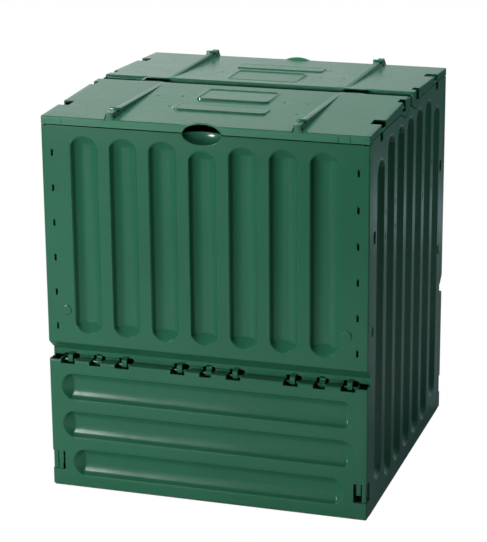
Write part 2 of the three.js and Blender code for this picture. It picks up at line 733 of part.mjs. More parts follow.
// The lid over the front half.
function lid() {
  const inner = frontFace + wall;
  const skirtFoot = wallTop + fit;
  const sideFoot = sideTop + fit;
  const pitch = lidFall / (lidEdge - frontFace);
  const topAt = (y) => eaveTop + (y - frontFace) * pitch;
  const section = alongX([
    [frontFace, skirtFoot],
    [frontFace, eaveTop],
    [lidEdge, ridgeHeight],
    [lidEdge, ridgeHeight - ridgeFlange],
    [lidEdge - wall, ridgeHeight - ridgeFlange],
    [lidEdge - wall, topAt(lidEdge - wall) - wall],
    [inner, topAt(inner) - wall],
    [inner, skirtFoot],
  ], [-sideFace, sideFace]);
  const edge = frontFace + cornerReturn + fit;
  const vFoot = sideFoot - vDepth;
  const skirts = both.map((side) => alongX([
    [frontFace, skirtFoot],
    [frontFace, eaveTop],
    [lidEdge, ridgeHeight],
    [lidEdge, vFoot + (lidEdge + vCentre) * vDepth / vHalf],
    [-vCentre, vFoot],
    [-vCentre - vHalf, sideFoot],
    [edge, sideFoot],
    [edge, skirtFoot],
  ], side > 0 ? [sideFace - wall, sideFace] : [-sideFace, wall - sideFace]));
  const above = alongX([
    [frontFace, eaveTop - wall],
    [frontFace, eaveTop + handHalfHeight],
    [0, eaveTop + handHalfHeight],
    [0, topAt(0) - wall],
  ], [-sideFace, sideFace]);
  const hood = handVolume(hoodWall).intersect(above);
  const ribs = both.flatMap((side) => {
    const x = side * ribSpacing / 2;
    const back = frontFace + ribSetback;
    const ribEnd = lidEdge - ribEndGap;
    const blade = alongX([
      [frontFace + ribFoot, topAt(frontFace) - wall / 2],
      [frontFace + ribFoot, ribTop],
      [back, ribTop],
      [ribEnd, topAt(ribEnd)],
      [ribEnd, topAt(ribEnd) - wall / 2],
    ], [x - ribWidth / 2, x + ribWidth / 2]);
    const column = alongY([
      [x - ribWidth / 2 - ribFlare, eaveTop - wall / 2],
      [x + ribWidth / 2 + ribFlare, eaveTop - wall / 2],
      [x + ribWidth / 2 + ribFlare, eaveTop],
      [x + ribWidth / 2, eaveTop + ribFlare],
      [x + ribWidth / 2, ribTop],
      [x - ribWidth / 2, ribTop],
      [x - ribWidth / 2, eaveTop + ribFlare],
      [x - ribWidth / 2 - ribFlare, eaveTop],
    ], [frontFace + ribFoot, back]);
    const knob = barX(
      knobRadius,
      knobSegments,
      [x - knobLength / 2, x + knobLength / 2],
      frontFace + knobSetback,
      ribTop,
    );
    return [blade, column, knob];
  });
  const tongues = both.map((side) => block(
    [side * (sideFace - wall - 2 * fit), side * (sideFace - 2 * wall - 2 * fit)],
    [-windNotchCentre - catchTongueWidth / 2, -windNotchCentre + catchTongueWidth / 2],
    [sideTop - catchTongueDrop, topAt(-windNotchCentre) - wall / 2],
  ));
  const plates = [
    [upperPlateDrop, upperPlateLength, upperPlateWidth],
    [lowerPlateDrop, lowerPlateLength, lowerPlateWidth],
  ].map(([drop, length, width]) => {
    const high = lidEdge - drop;
    const low = high - length;
    return alongX([
      [low, topAt(low) - wall / 2],
      [low, topAt(low) + plateRise],
      [high, topAt(high) + plateRise],
      [high, topAt(high) - wall / 2],
    ], [-width / 2, width / 2]);
  });
  const notchBack = lidEdge - lidNotchDepth;
  const hinges = both.map((side) => side * postSpacing / 2);
  const hingeNotches = hinges.map((x) => block(
    [x - lidNotchWidth / 2, x + lidNotchWidth / 2],
    [notchBack, lidEdge + overrun],
    [ridgeHeight - ridgeFlange - overrun, ridgeHeight - lidNotchRoof],
  ));
  const gussets = hinges.flatMap((x) => both.map((side) => {
    const start = x + side * lidNotchWidth / 2;
    const back = lidEdge - lidGussetLength;
    return alongX([
      [lidEdge - wall / 2, topAt(lidEdge) - wall / 2],
      [lidEdge - wall / 2, ridgeHeight - lidGussetDrop],
      [lidAxisY - lidPinRadius, ridgeHeight - lidGussetDrop],
      [back, topAt(back) - wall],
      [back, topAt(back) - wall / 2],
    ], side > 0 ? [start, start + wall] : [start - wall, start]);
  }));
  const pins = hinges.map((x) => barX(
    lidPinRadius,
    knobSegments,
    [x - lidNotchWidth / 2 - wall / 2, x + lidNotchWidth / 2 + wall / 2],
    lidAxisY,
    lidAxisZ,
  ));
  const sideCuts = both.flatMap((side) => [
    block(
      [side * (sideFace - eaveNotchReach), side * (sideFace + overrun)],
      [-eaveNotchCentre - eaveNotchLength / 2, -eaveNotchCentre + eaveNotchLength / 2],
      [sideFoot + eaveNotchSill, ridgeHeight + overrun],
    ),
    block(
      [side * (sideFace - ridgeNotchReach), side * (sideFace + overrun)],
      [-ridgeNotchCentre - ridgeNotchLength / 2, -ridgeNotchCentre + ridgeNotchLength / 2],
      [sideFoot + fit, ridgeHeight + overrun],
    ),
  ]);
  const shell = join([section, ...skirts, hood, ...plates, ...tongues, ...gussets]);
  const body = cut(shell, [handVolume(0), ...hingeNotches, ...sideCuts]);
  return join([body, ...ribs, ...pins]);
}

// A locking stud: a round head outside, a barb behind the side wall's flange.
function lockStud() {
  const grip = 2 * wall + fit;
  const profile = [
    [0, -studHeadRise - fit],
    [studHeadRadius - studBarb, -studHeadRise - fit],
    [studHeadRadius, -studHeadRise],
    [studHeadRadius, -fit],
    [studRadius, -fit],
    [studRadius, grip + fit],
    [studRadius + studBarb, grip + fit],
    [studRadius, grip + fit + studTail],
    [0, grip + fit + studTail],
  ];
  const geometry = new THREE.LatheGeometry(profile.map(([r, y]) => new THREE.Vector2(r, y)), studSegments);
  return toSolid(geometry);
}

const group = new THREE.Group();

// Adds a named piece to the bin, turned half round for the rear or the left.
function addPiece(name, geometry, turned = false, at = [0, 0, 0]) {
  const mesh = new THREE.Mesh(geometry, new THREE.MeshStandardMaterial(green));
  mesh.name = name;
  mesh.position.set(...at);
  mesh.rotation.z = turned ? Math.PI : 0;
  group.add(mesh);
}

const sideGeometry = toGeometry(sideWall());
addPiece('side_wall_right', sideGeometry);
addPiece('side_wall_left', sideGeometry, true);

const upperGeometry = toGeometry(upperWall());
addPiece('front_wall', upperGeometry);
addPiece('rear_wall', upperGeometry, true);

addPiece('ridge_beam', toGeometry(ridgeBeam()));

const flapGeometry = toGeometry(flap());
addPiece('front_flap', flapGeometry);
addPiece('rear_flap', flapGeometry, true);

const lidGeometry = toGeometry(lid());
addPiece('front_lid', lidGeometry);
addPiece('rear_lid', lidGeometry, true);

const studGeometry = toGeometry(lockStud());
addPiece('lock_stud_front_left', studGeometry, false, [-studX, frontFace, studZ]);
addPiece('lock_stud_front_right', studGeometry, false, [studX, frontFace, studZ]);
addPiece('lock_stud_rear_left', studGeometry, true, [-studX, -frontFace, studZ]);
addPiece('lock_stud_rear_right', studGeometry, true, [studX, -frontFace, studZ]);

export default group;
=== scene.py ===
import bpy
import math
import numpy as np
from mathutils import Matrix, Vector


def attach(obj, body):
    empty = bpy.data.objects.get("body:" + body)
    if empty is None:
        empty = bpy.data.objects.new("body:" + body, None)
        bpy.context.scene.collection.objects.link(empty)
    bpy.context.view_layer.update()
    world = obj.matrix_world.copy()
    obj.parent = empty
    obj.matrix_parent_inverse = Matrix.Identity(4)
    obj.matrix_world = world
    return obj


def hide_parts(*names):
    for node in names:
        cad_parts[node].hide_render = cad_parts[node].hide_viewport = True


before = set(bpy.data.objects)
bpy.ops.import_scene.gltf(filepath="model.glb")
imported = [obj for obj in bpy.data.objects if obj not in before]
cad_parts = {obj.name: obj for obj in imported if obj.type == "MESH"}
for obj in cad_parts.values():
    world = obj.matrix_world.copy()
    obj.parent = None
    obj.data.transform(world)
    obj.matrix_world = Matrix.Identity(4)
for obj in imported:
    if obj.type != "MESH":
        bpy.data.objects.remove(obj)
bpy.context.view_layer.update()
print("frame loaded,", len(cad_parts), "nodes")

# The bin in millimetres, +Z up, the front towards -Y. Rear and left pieces are turned half round.
size = {
    "half": 400.0,
    "wall": 4.0,
    "ridge": 950.0,
    "eave": 936.0,
    "wallTop": 915.0,
    "sideTop": 919.0,
    "flapTop": 330.0,
    "cornerBack": 27.0,
    "corner": 3.0,
}
half = size["half"]
wall = size["wall"]


def gridLines(low, high, coarse, zones, marks):
    # Marks always stay, zones (start, end, step) are filled, and gaps wider than coarse are split. Lines
    # of zones that come closer than nearest to a mark or to each other are left out.
    nearest = 0.45
    fixed = sorted({round(float(mark), 4) for mark in [low, high, *marks] if low <= mark <= high})
    fine = np.concatenate([np.linspace(start, end, max(1, round((end - start) / step)) + 1)
                           for start, end, step in zones])
    fine = fine[between(fine, low, high)]
    gap = np.abs(fine[:, None] - np.array(fixed)).min(axis=1)
    kept = np.unique(np.round(np.concatenate([fixed, fine[gap > nearest]]), 4))
    isMark = np.isin(kept, fixed)
    chosen = [kept[0]]
    for value, mark in zip(kept[1:], isMark[1:]):
        if mark or value - chosen[-1] > nearest:
            chosen.append(value)
    filled = [np.linspace(a, b, math.ceil((b - a) / coarse) + 1)[:-1] for a, b in zip(chosen, chosen[1:])]
    return np.concatenate([*filled, [chosen[-1]]])


def around(places, reach, step):
    # Grid zones as far as reach on both sides of every place.
    return [(place - reach, place + reach, step) for place in places]


def between(values, low, high):
    return (values > low) & (values < high)


def centred(values):
    return (values[:-1, :-1] + values[1:, :-1] + values[:-1, 1:] + values[1:, 1:]) / 4


def boxHole(u, v, cu, cv, halfU, halfV, radius):
    # Signed distance to a rectangle with rounded corners, negative inside.
    a = np.abs(u - cu) - halfU + radius
    b = np.abs(v - cv) - halfV + radius
    return np.hypot(np.maximum(a, 0), np.maximum(b, 0)) + np.minimum(np.maximum(a, b), 0) - radius


def cutHoles(u, v, keep, hole):
    # Leaves out the cells inside the hole, and moves the corners at its edge on to its outline in three
    # steps down the slope of its distance.
    outside = hole(centred(u), centred(v)) > 0
    touch = np.zeros((2, *u.shape), bool)
    for layer, cells in enumerate((outside, ~outside)):
        for i in (0, 1):
            for j in (0, 1):
                touch[layer, i:u.shape[0] - 1 + i, j:u.shape[1] - 1 + j] |= cells
    edge = touch[0] & touch[1]
    step = 0.05
    for _ in range(3):
        value = hole(u, v)
        slopeU = (hole(u + step, v) - hole(u - step, v)) / (2 * step)
        slopeV = (hole(u, v + step) - hole(u, v - step)) / (2 * step)
        square = np.maximum(slopeU ** 2 + slopeV ** 2, 0.25)
        u = np.where(edge, u - value * slopeU / square, u)
        v = np.where(edge, v - value * slopeV / square, v)
    return u, v, keep & outside


def patch(points, keep=None):
    # A grid of points and the cells of it that stay, as corners and four-sided faces.
    rows, columns = points.shape[:2]
    index = np.arange(rows * columns).reshape(rows, columns)
    quads = np.stack([index[:-1, :-1], index[:-1, 1:], index[1:, 1:], index[1:, :-1]], axis=-1)
    quads = quads.reshape(-1, 4) if keep is None else quads[keep]
    return points.reshape(-1, 3), quads


def weld(patches):
    # One set of corners for patches that share their borders.
    points = []
    quads = []
    count = 0
    for part, faces in patches:
        points.append(part)
        quads.append(faces + count)
        count += len(part)
    points = np.concatenate(points)
    quads = np.concatenate(quads)
    _, first, back = np.unique(np.round(points, 3), axis=0, return_index=True, return_inverse=True)
    return points[first], back.reshape(-1)[quads]


def thicken(points, quads, depth):
    # A closed shell: the faces, the same faces moved inwards by the depth, and a rim round every edge.
    a, b, c, d = (points[quads[:, k]] for k in range(4))
    normal = np.cross(c - a, d - b)
    length = np.linalg.norm(normal, axis=1)
    whole = length > 1e-6  # cells without an area are left out
    quads = quads[whole]
    unit = normal[whole] / length[whole, None]
    total = np.zeros_like(points)
    count = np.zeros(len(points))
    for k in range(4):
        np.add.at(total, quads[:, k], unit)
        np.add.at(count, quads[:, k], 1)
    total /= np.maximum(np.linalg.norm(total, axis=1), 1e-9)[:, None]
    lean = np.zeros(len(points))
    for k in range(4):
        np.add.at(lean, quads[:, k], (unit * total[quads[:, k]]).sum(axis=1))
    lean = np.clip(lean / np.maximum(count, 1), 0.6, 1)  # at bends the move is longer
    inner = points - total * (depth / lean)[:, None]
    # An edge is open if no face runs along it the other way.
    corners = len(points)
    starts = quads.reshape(-1)
    ends = np.roll(quads, -1, axis=1).reshape(-1)
    isOpen = ~np.isin(starts * corners + ends, ends * corners + starts)
    first, second = starts[isOpen], ends[isOpen]
    rims = np.stack([second, first, first + corners, second + corners], axis=-1)
    return np.concatenate([points, inner]), np.concatenate([quads, quads[:, ::-1] + corners, rims])


def curve(start, corner, end, steps):
    # Points of the parabola that leaves start towards the corner and comes to end from there.
    t = np.linspace(0, 1, steps + 1)[:, None]
    return start * (1 - t) ** 2 + corner * 2 * t * (1 - t) + end * t ** 2


def softCorner(before, corner, after, reach, steps):
    # The curve that cuts a corner off, from reach before it to reach after it.
    start, end = (corner + (other - corner) / np.linalg.norm(other - corner) * reach
                  for other in (before, after))
    return list(curve(start, corner, end, steps))


def filletPath(points, radii, steps=4):
    # Every corner of an open path becomes a short curve of the given radius.
    points = [np.array(point, float) for point in points]
    found = [points[0]]
    for before, corner, after, radius in zip(points, points[1:], points[2:], radii):
        inward = corner - before
        outward = after - corner
        cosine = inward @ outward / (np.linalg.norm(inward) * np.linalg.norm(outward))
        reach = radius * math.tan(math.acos(max(-1.0, min(1.0, cosine))) / 2)
        found += softCorner(before, corner, after, reach, steps)
    found.append(points[-1])
    return np.array(found)


def lengths(path):
    return np.concatenate([[0], np.cumsum(np.linalg.norm(np.diff(path, axis=0), axis=1))])


def roundOutline(corners, radius, steps=3):
    # A closed outline with every corner softened.
    corners = np.array(corners, float)
    found = []
    for before, corner, after in zip(np.roll(corners, 1, axis=0), corners, np.roll(corners, -1, axis=0)):
        shorter = min(np.linalg.norm(before - corner), np.linalg.norm(after - corner))
        found += softCorner(before, corner, after, min(radius, 0.45 * shorter), steps)
    return np.array(found)


def prism(corners, span, place, soft=0.7, radius=None, steps=3):
    # An outline drawn out between two values, with softened corners and ends.
    outline = roundOutline(corners, soft if radius is None else radius, steps)
    area = np.sum(outline[:, 0] * np.roll(outline[:, 1], -1) - outline[:, 1] * np.roll(outline[:, 0], -1))
    if area < 0:
        outline = outline[::-1]
    along = np.roll(outline, -1, axis=0) - np.roll(outline, 1, axis=0)
    along /= np.maximum(np.linalg.norm(along, axis=1), 1e-9)[:, None]
    inward = np.stack([-along[:, 1], along[:, 0]], axis=-1)
    low, high = sorted(span)
    soft = min(soft, (high - low) / 3)
    turns = np.linspace(0, math.pi / 2, steps)
    rings = [(soft * (1 - math.sin(turn)), low + soft * (1 - math.cos(turn))) for turn in turns]
    rings += [(inset, high + low - at) for inset, at in reversed(rings)]
    flat = np.stack([outline + inward * inset for inset, _ in rings])
    at = np.array([position for _, position in rings])[:, None] * np.ones(len(outline))
    return closed(place(flat[..., 0], flat[..., 1], at))


def closed(rings):
    # The faces between closed rings of points and over both ends, turned to face outward: the volume
    # that they enclose is not to be negative.
    points = rings.reshape(-1, 3)
    index = np.arange(len(points)).reshape(rings.shape[:2])
    ahead = np.roll(index, -1, axis=1)
    quads = np.stack([index[:-1], ahead[:-1], ahead[1:], index[1:]], axis=-1).reshape(-1, 4)
    caps = [index[0][::-1].tolist(), index[-1].tolist()]
    a, b, c, d = (points[quads[:, k]] for k in range(4))
    volume = (np.cross(a, b) * c).sum() + (np.cross(a, c) * d).sum()
    for cap in caps:
        ring = points[cap]
        volume += (np.cross(ring[0], ring[1:-1]) * ring[2:]).sum()
    if volume < 0:
        return points, quads[:, ::-1], [cap[::-1] for cap in caps]
    return points, quads, caps


def turned(profile, place, steps=32):
    # A profile of radius and position turned once round its axis, closed at both ends.
    profile = np.array(profile, float)
    angle = np.linspace(0, 2 * math.pi, steps, endpoint=False)
    radius = profile[:, 0][:, None]
    at = profile[:, 1][:, None] * np.ones(steps)
    return closed(place(radius * np.cos(angle), radius * np.sin(angle), at))


def alongX(a, b, t):
    return np.stack([t, a, b], axis=-1)


def alongY(a, b, t):
    return np.stack([a, t, b], axis=-1)


def bothSigns(values):
    return [sign * value for sign in (-1, 1) for value in values]


def bothZones(*zones):
    # Grid zones (low, high, step) on both sides of the middle.
    return [*zones, *((-high, -low, step) for low, high, step in zones)]


def zonesDown(vOf, zones):
    # Grid zones given as heights, for a grid that runs downwards.
    return [(vOf(high), vOf(low), step) for high, low, step in zones]


def block(x, y, z, soft=0.7):
    corners = [(y[0], z[0]), (y[1], z[0]), (y[1], z[1]), (y[0], z[1])]
    return prism(corners, x, alongX, soft)


def barX(radius, span, y, z, soft=0.6, steps=24):
    low, high = sorted(span)
    profile = [(radius - soft, low), (radius - 0.3 * soft, low + 0.3 * soft), (radius, low + soft)]
    profile += [(r, high + low - at) for r, at in reversed(profile)]
    return turned(profile, lambda a, b, t: alongX(a + y, b + z, t), steps)


def dome(radius, rise, place, steps=40):
    # A low round head with a softly rounded edge.
    profile = [(0.05, rise), (radius * 0.62, rise), (radius * 0.8, rise - 0.12), (radius * 0.9, rise - 0.5)]
    profile += [(radius - 0.35, rise - 1.2), (radius, rise - 2.0), (radius, -2.5)]
    return turned(profile, place, steps)


troughs = {
    "halfWidth": 33.5,
    "pitch": 97.83,
    "count": 7,
    # Section from outside the rim to the flat floor: distance from the middle, and depth.
    "side": [(36.0, 0.0), (33.6, 0.0), (32.3, 2.4), (30.6, 6.6), (28.8, 11.0), (26.5, 13.0), (21.0, 16.6),
             (17.0, 19.0), (13.0, 20.4), (8.0, 21.0), (4.0, 21.0)],
    # Sloping end: depth, distance from the rim's end, and how far the sides trail behind.
    "end": [(0.0, -0.8, 33.0), (0.5, 0.4, 32.6), (1.6, 1.8, 31.0), (20.2, 24.0, 7.0), (21.6, 27.0, 5.0)],
    "blend": 0.7,
    # How far the fine part of the grid goes on beyond a trough, and half the width of its coarser part.
    "gridEdge": 1.5,
    "gridFloor": 19.0,
}


def smoothSection(corners):
    # A curve that follows the corners and rounds each of them, sampled densely.
    points = np.array(corners, float)
    middles = (points[:-1] + points[1:]) / 2
    bends = [curve(*three, 11) for three in zip(middles[:-1], points[1:-1], middles[1:])]
    return np.concatenate([points[:1], *bends, points[-1:]])


sideCurve = smoothSection(troughs["side"])[::-1]


def troughDepth(across, along, length):
    # The shallower of the section and the sloping end, blended where they meet.
    away = np.abs(across)
    section = np.interp(away, sideCurve[:, 0], sideCurve[:, 1])
    share = np.clip(away / troughs["halfWidth"], 0, 1)
    trail = 1 - np.sqrt(1 - share ** 2)
    inside = length / 2 - np.abs(along)
    slope = np.zeros(np.shape(inside))
    for (depth, start, back), (nextDepth, nextStart, nextBack) in zip(troughs["end"], troughs["end"][1:]):
        low = start + back * trail
        reach = np.maximum(nextStart + nextBack * trail - low, 0.05)
        slope = slope + (nextDepth - depth) * np.clip((inside - low) / reach, 0, 1)
    lower = np.minimum(section, slope)
    near = np.maximum(troughs["blend"] - np.abs(section - slope), 0) / troughs["blend"]
    return np.maximum(lower - near ** 2 * troughs["blend"] / 4 * np.clip(lower / 4, 0, 1), 0)


def troughCentres():
    middle = (troughs["count"] - 1) / 2
    return [(index - middle) * troughs["pitch"] for index in range(troughs["count"])]


recess = {"halfWidth": 47.5, "halfHeight": 24.5, "depth": 30.0, "hood": 3.5, "blend": 1.4, "rim": 2.4}


def recessArc(x, z=0.0):
    # How far the bowl goes in behind the face at this width and height from the middle.
    return recess["depth"] * np.sqrt(np.maximum(
        1 - (x / recess["halfWidth"]) ** 2 - (z / recess["halfHeight"]) ** 2, 0))


def bowlDepth(x, z):
    # The bowl with its rim rounded: near the outline the depth leaves the face slowly, as a square.
    share = np.hypot(x / recess["halfWidth"], z / recess["halfHeight"])
    slope = np.hypot(x / recess["halfWidth"] ** 2, z / recess["halfHeight"] ** 2) / np.maximum(share, 1e-6)
    inside = (1 - share) / np.maximum(slope, 1e-6)
    start = recess["rim"] / 2
    edge = recess["depth"] * np.sqrt(np.clip(1 - (1 - start * slope) ** 2, 0, 1))
    rounded = edge * np.clip((inside + start) / recess["rim"], 0, 1) ** 2
    return np.where(inside > start, recessArc(x, z), rounded)


# Lines that close up towards the recess's ends, where its outline turns upright.
recessTurns = np.radians(np.arange(7.5, 90.1, 7.5))
recessMarks = recess["halfWidth"] * np.sin(recessTurns)
recessMarks = [*-recessMarks, 0.0, *recessMarks]
recessRows = recess["halfHeight"] * np.sin(recessTurns)


upper = {
    "foldTop": 376.0,
    "foldFoot": 348.0,
    "stripDepth": 33.0,
    "stripFoot": 333.0,
    "lipDepth": 19.0,
    "lipHalf": 387.6,
    "stripHalf": 395.6,
    "troughFoot": 402.0,
    "troughTop": 893.0,
    "middleTop": 877.0,
    "slotX": 374.0,
    "slotHalf": (2.75, 9.0),
    "slotZ": [418.0, 504.2, 590.4, 676.6, 762.8, 849.0],
    # Grid zones over the troughs' ends and the bowl: from, down to, and step.
    "gridZ": [(912.0, 895.0, 2.0), (895.0, 845.0, 1.7), (432.0, 400.0, 1.6)],
    "edgeRound": 2.0,
}


def troughZones(step):
    # Grid zones across the upright troughs: fine over their ramps, coarser over their floors.
    zones = []
    reach = troughs["halfWidth"] + troughs["gridEdge"]
    floor = troughs["gridFloor"]
    for centre in troughCentres():
        zones += [(centre - reach, centre - floor, step), (centre - floor, centre + floor, 2 * step),
                  (centre + floor, centre + reach, step)]
    return zones


def planLine(s, shift):
    # The outline seen from above: straight along the front, an arc round the corner, then back along
    # the side. Shift moves the front in and shortens the part along the side. It gives the place and
    # the direction inwards.
    radius = size["corner"]
    back = size["cornerBack"]
    flat = half - radius
    away = np.abs(s)
    turn = np.clip((away - flat) / radius, 0, math.pi / 2)
    beyond = np.maximum(away - flat - radius * math.pi / 2, 0) / (back - radius)
    x = np.sign(s) * (np.minimum(away, flat) + radius * np.sin(turn))
    y = -half + shift + radius * (1 - np.cos(turn)) + beyond * np.maximum(back - radius - shift, 0)
    return x, y, -np.sign(s) * np.sin(turn), np.cos(turn)


# Places along that outline: where the corner starts and ends, and where the part along the side ends.
cornerStart = half - size["corner"]
cornerEnd = cornerStart + size["corner"] * math.pi / 2
planEnd = cornerEnd + size["cornerBack"] - size["corner"]
cornerZone = (cornerStart, cornerEnd, 1.18)


hinge = {
    "sets": [-282.0, 0.0, 282.0],
    "outer": 70.0,
    # Widths of notch and clip, whether the clip grips from above, and where its ring starts and ends.
    "outerClip": (36.0, 13.0, True, (20.0, 245.0)),
    "middleClip": (29.0, 14.0, False, (70.0, -150.0)),
    "axisY": -376.0,
    "axisZ": 324.0,
    "notchDrop": 9.0,
    "pin": 3.5,
    "gap": 0.4,
    "clipWall": 3.2,
    "cutHalf": 93.0,
    "cutTop": 338.0,
    "cutStep": 335.4,
    "backFoot": 326.5,
    "backTop": 333.5,
    "backHalf": 372.0,
}


def clipPlaces():
    # The middle of every clip, followed by the values of its kind.
    return [(centre + offset, *hinge["outerClip" if offset else "middleClip"])
            for centre in hinge["sets"] for offset in (-hinge["outer"], 0, hinge["outer"])]


def notchEdges(spare=0.0):
    return [x + side * (notch / 2 + spare) for x, notch, *_ in clipPlaces() for side in (-1, 1)]


def inNotches(x):
    return np.any([np.abs(x - middle) < notch / 2 for middle, notch, *_ in clipPlaces()], axis=0)


def arcOutline(inner, outer, start, end, y, z, steps=16):
    turn = np.radians(np.linspace(start, end, steps))
    # A part of a ring, from one angle to the other.
    ring = np.stack([np.cos(turn), np.sin(turn)], axis=-1)
    return [*(ring * outer + [y, z]), *(ring[::-1] * inner + [y, z])]


def upperShell():
    top = size["wallTop"]
    path = filletPath(
        [(upper["lipDepth"], top), (0, top), (0, upper["foldTop"]),
         (upper["stripDepth"], upper["foldFoot"]), (upper["stripDepth"], upper["stripFoot"])],
        [upper["edgeRound"], 2.2, 1.6],
    )
    run = lengths(path)
    faceStart = run[5]
    faceZ = path[5][1]

    def vOf(z):
        return faceStart + faceZ - z

    slotHalfX, slotHalfZ = upper["slotHalf"]
    marksU = bothSigns((upper["lipHalf"], cornerStart, cornerEnd, upper["stripHalf"]))
    marksU += [centre + side * hinge["cutHalf"] for centre in hinge["sets"] for side in (-1, 1)]
    marksU += [*notchEdges(), *recessMarks]
    zonesU = [*troughZones(2.3), *bothZones((upper["slotX"] - 4, upper["slotX"] + 4, 0.9), cornerZone)]
    us = gridLines(-planEnd, planEnd, 9.0, zonesU, marksU)
    marksV = list(run[1:])
    stripCut = run[-1] - (hinge["cutTop"] - upper["stripFoot"])
    stripStep = run[-1] - (hinge["cutStep"] - upper["stripFoot"])
    marksV += [stripCut, stripStep, *(vOf(top - row) for row in recessRows)]
    slotEnds = [vOf(z + side * (slotHalfZ - 1.4)) for z in upper["slotZ"] for side in (-1, 1)]
    zonesV = [*zonesDown(vOf, upper["gridZ"]), *around(slotEnds, 2.4, 1.0), (run[10], run[11], 6.0)]
    vs = gridLines(0, run[-1], 16.0, zonesV, marksV)
    u, v = np.meshgrid(us, vs, indexing="ij")

    away = np.abs(centred(u))
    middleV = centred(v)
    keep = ~((middleV < faceStart) & (away > upper["lipHalf"]))
    inset = np.interp(middleV, run, path[:, 0])
    isStrip = (middleV > run[6]) & (inset > size["cornerBack"] - size["corner"])
    keep &= ~(isStrip & (away > upper["stripHalf"]))
    inSet = np.min([np.abs(centred(u) - centre) for centre in hinge["sets"]], axis=0) < hinge["cutHalf"]
    keep &= ~((middleV > stripStep) & inSet)
    keep &= ~((middleV > stripCut) & inNotches(centred(u)))

    def slots(a, b):
        return np.minimum.reduce([boxHole(np.abs(a), b, upper["slotX"], vOf(z), slotHalfX, slotHalfZ, 1.2)
                                  for z in upper["slotZ"]])

    u, v, keep = cutHoles(u, v, keep, slots)
    inset = np.interp(v, run, path[:, 0])
    z = np.interp(v, run, path[:, 1])
    atLip = v <= faceStart
    z = np.where(atLip & (np.abs(u) > upper["lipHalf"] + 0.01), top, z)
    x, y, nx, ny = planLine(u, np.where(v >= run[6], inset, 0))
    depth = np.zeros(u.shape)
    for centre in troughCentres():
        high = upper["middleTop"] if abs(centre) < 1 else upper["troughTop"]
        middle = (high + upper["troughFoot"]) / 2
        depth += troughDepth(u - centre, z - middle, high - upper["troughFoot"])
    depth = np.where(between(v, faceStart, run[6]), depth, 0)
    # The bowl: below the top edge it is an ellipsoid, and along the lip it shifts the lip back.
    bowl = bowlDepth(u, z - top)
    atEdge = recessArc(u)
    share = np.clip(1 - v / faceStart, 0, 1)
    lipBack = np.maximum(upper["lipDepth"], atEdge + wall)
    lip = np.where(atEdge > 0, atEdge + share * (lipBack - atEdge), inset)
    depth = np.where(atLip, lip, depth + bowl)
    z = np.where(atLip & (atEdge > 2), top, z)
    points = np.stack([x + nx * depth, y + ny * depth, z], axis=-1)
    return thicken(*patch(points, keep), wall)


def stripClips():
    # Hooks of the strip round the flap's pins: a part of a ring with an arm. The middle one of every
    # set is turned the other way.
    y, z = hinge["axisY"], hinge["axisZ"]
    bore = hinge["pin"] + hinge["gap"]
    rim = bore + hinge["clipWall"]
    face = -half + upper["stripDepth"]
    for x, _, width, above, turn in clipPlaces():
        span = (x - width / 2, x + width / 2)
        yield prism(arcOutline(bore, rim, *turn, y, z), span, alongX, 0.5, 0.4, 2)
        top = hinge["cutTop"]
        if above:
            # A shelf in front of the strip that carries the clip's upright front.
            under = top - hinge["clipWall"]
            arm = [(face + wall, top + wall), (face, top + wall), (y - rim, top), (y - rim, z),
                   (y - bore, z), (y - bore, under), (face + wall, under)]
        else:
            arm = [(face, top + wall), (face, z + bore + 3.6), (y + bore, z + bore + 1.6),
                   (y + bore + 1.6, z), (face + wall, top - wall), (face + wall, top + wall)]
        yield prism(arm, span, alongX, 0.5, 0.5, 2)
    # Backings of the strip between the notches, just behind the swing of the flap's top.
    edges = [-hinge["backHalf"], *notchEdges(0.5), hinge["backHalf"]]
    for span in zip(edges[::2], edges[1::2]):
        yield block(span, (face + 1.6, face + wall), (hinge["backFoot"], hinge["backTop"]), 0.5)


flaps = {
    "foot": 2.5,
    "bevelFoot": 327.0,
    "bevelDepth": 2.5,
    "lipHalf": 375.6,
    "topLip": 28.0,
    "footLip": 24.0,
    "rows": [(262.5, 370.0), (164.25, 370.0), (66.0, 345.0)],
    # Cut-outs of the lower corners: from this X outwards, between these heights.
    "catch": (367.0, 43.0, 91.0),
    "edgeRound": 1.6,
    # Grid zones over the troughs' ends and the cut-outs.
    "gridX": [(312.0, 347.0, 1.7), (335.0, 372.0, 1.7), (362.0, 372.0, 1.0)],
    "gridZ": [(93.0, 86.0, 1.0), (48.0, 41.0, 1.0), (12.0, 4.0, 1.6)],
}


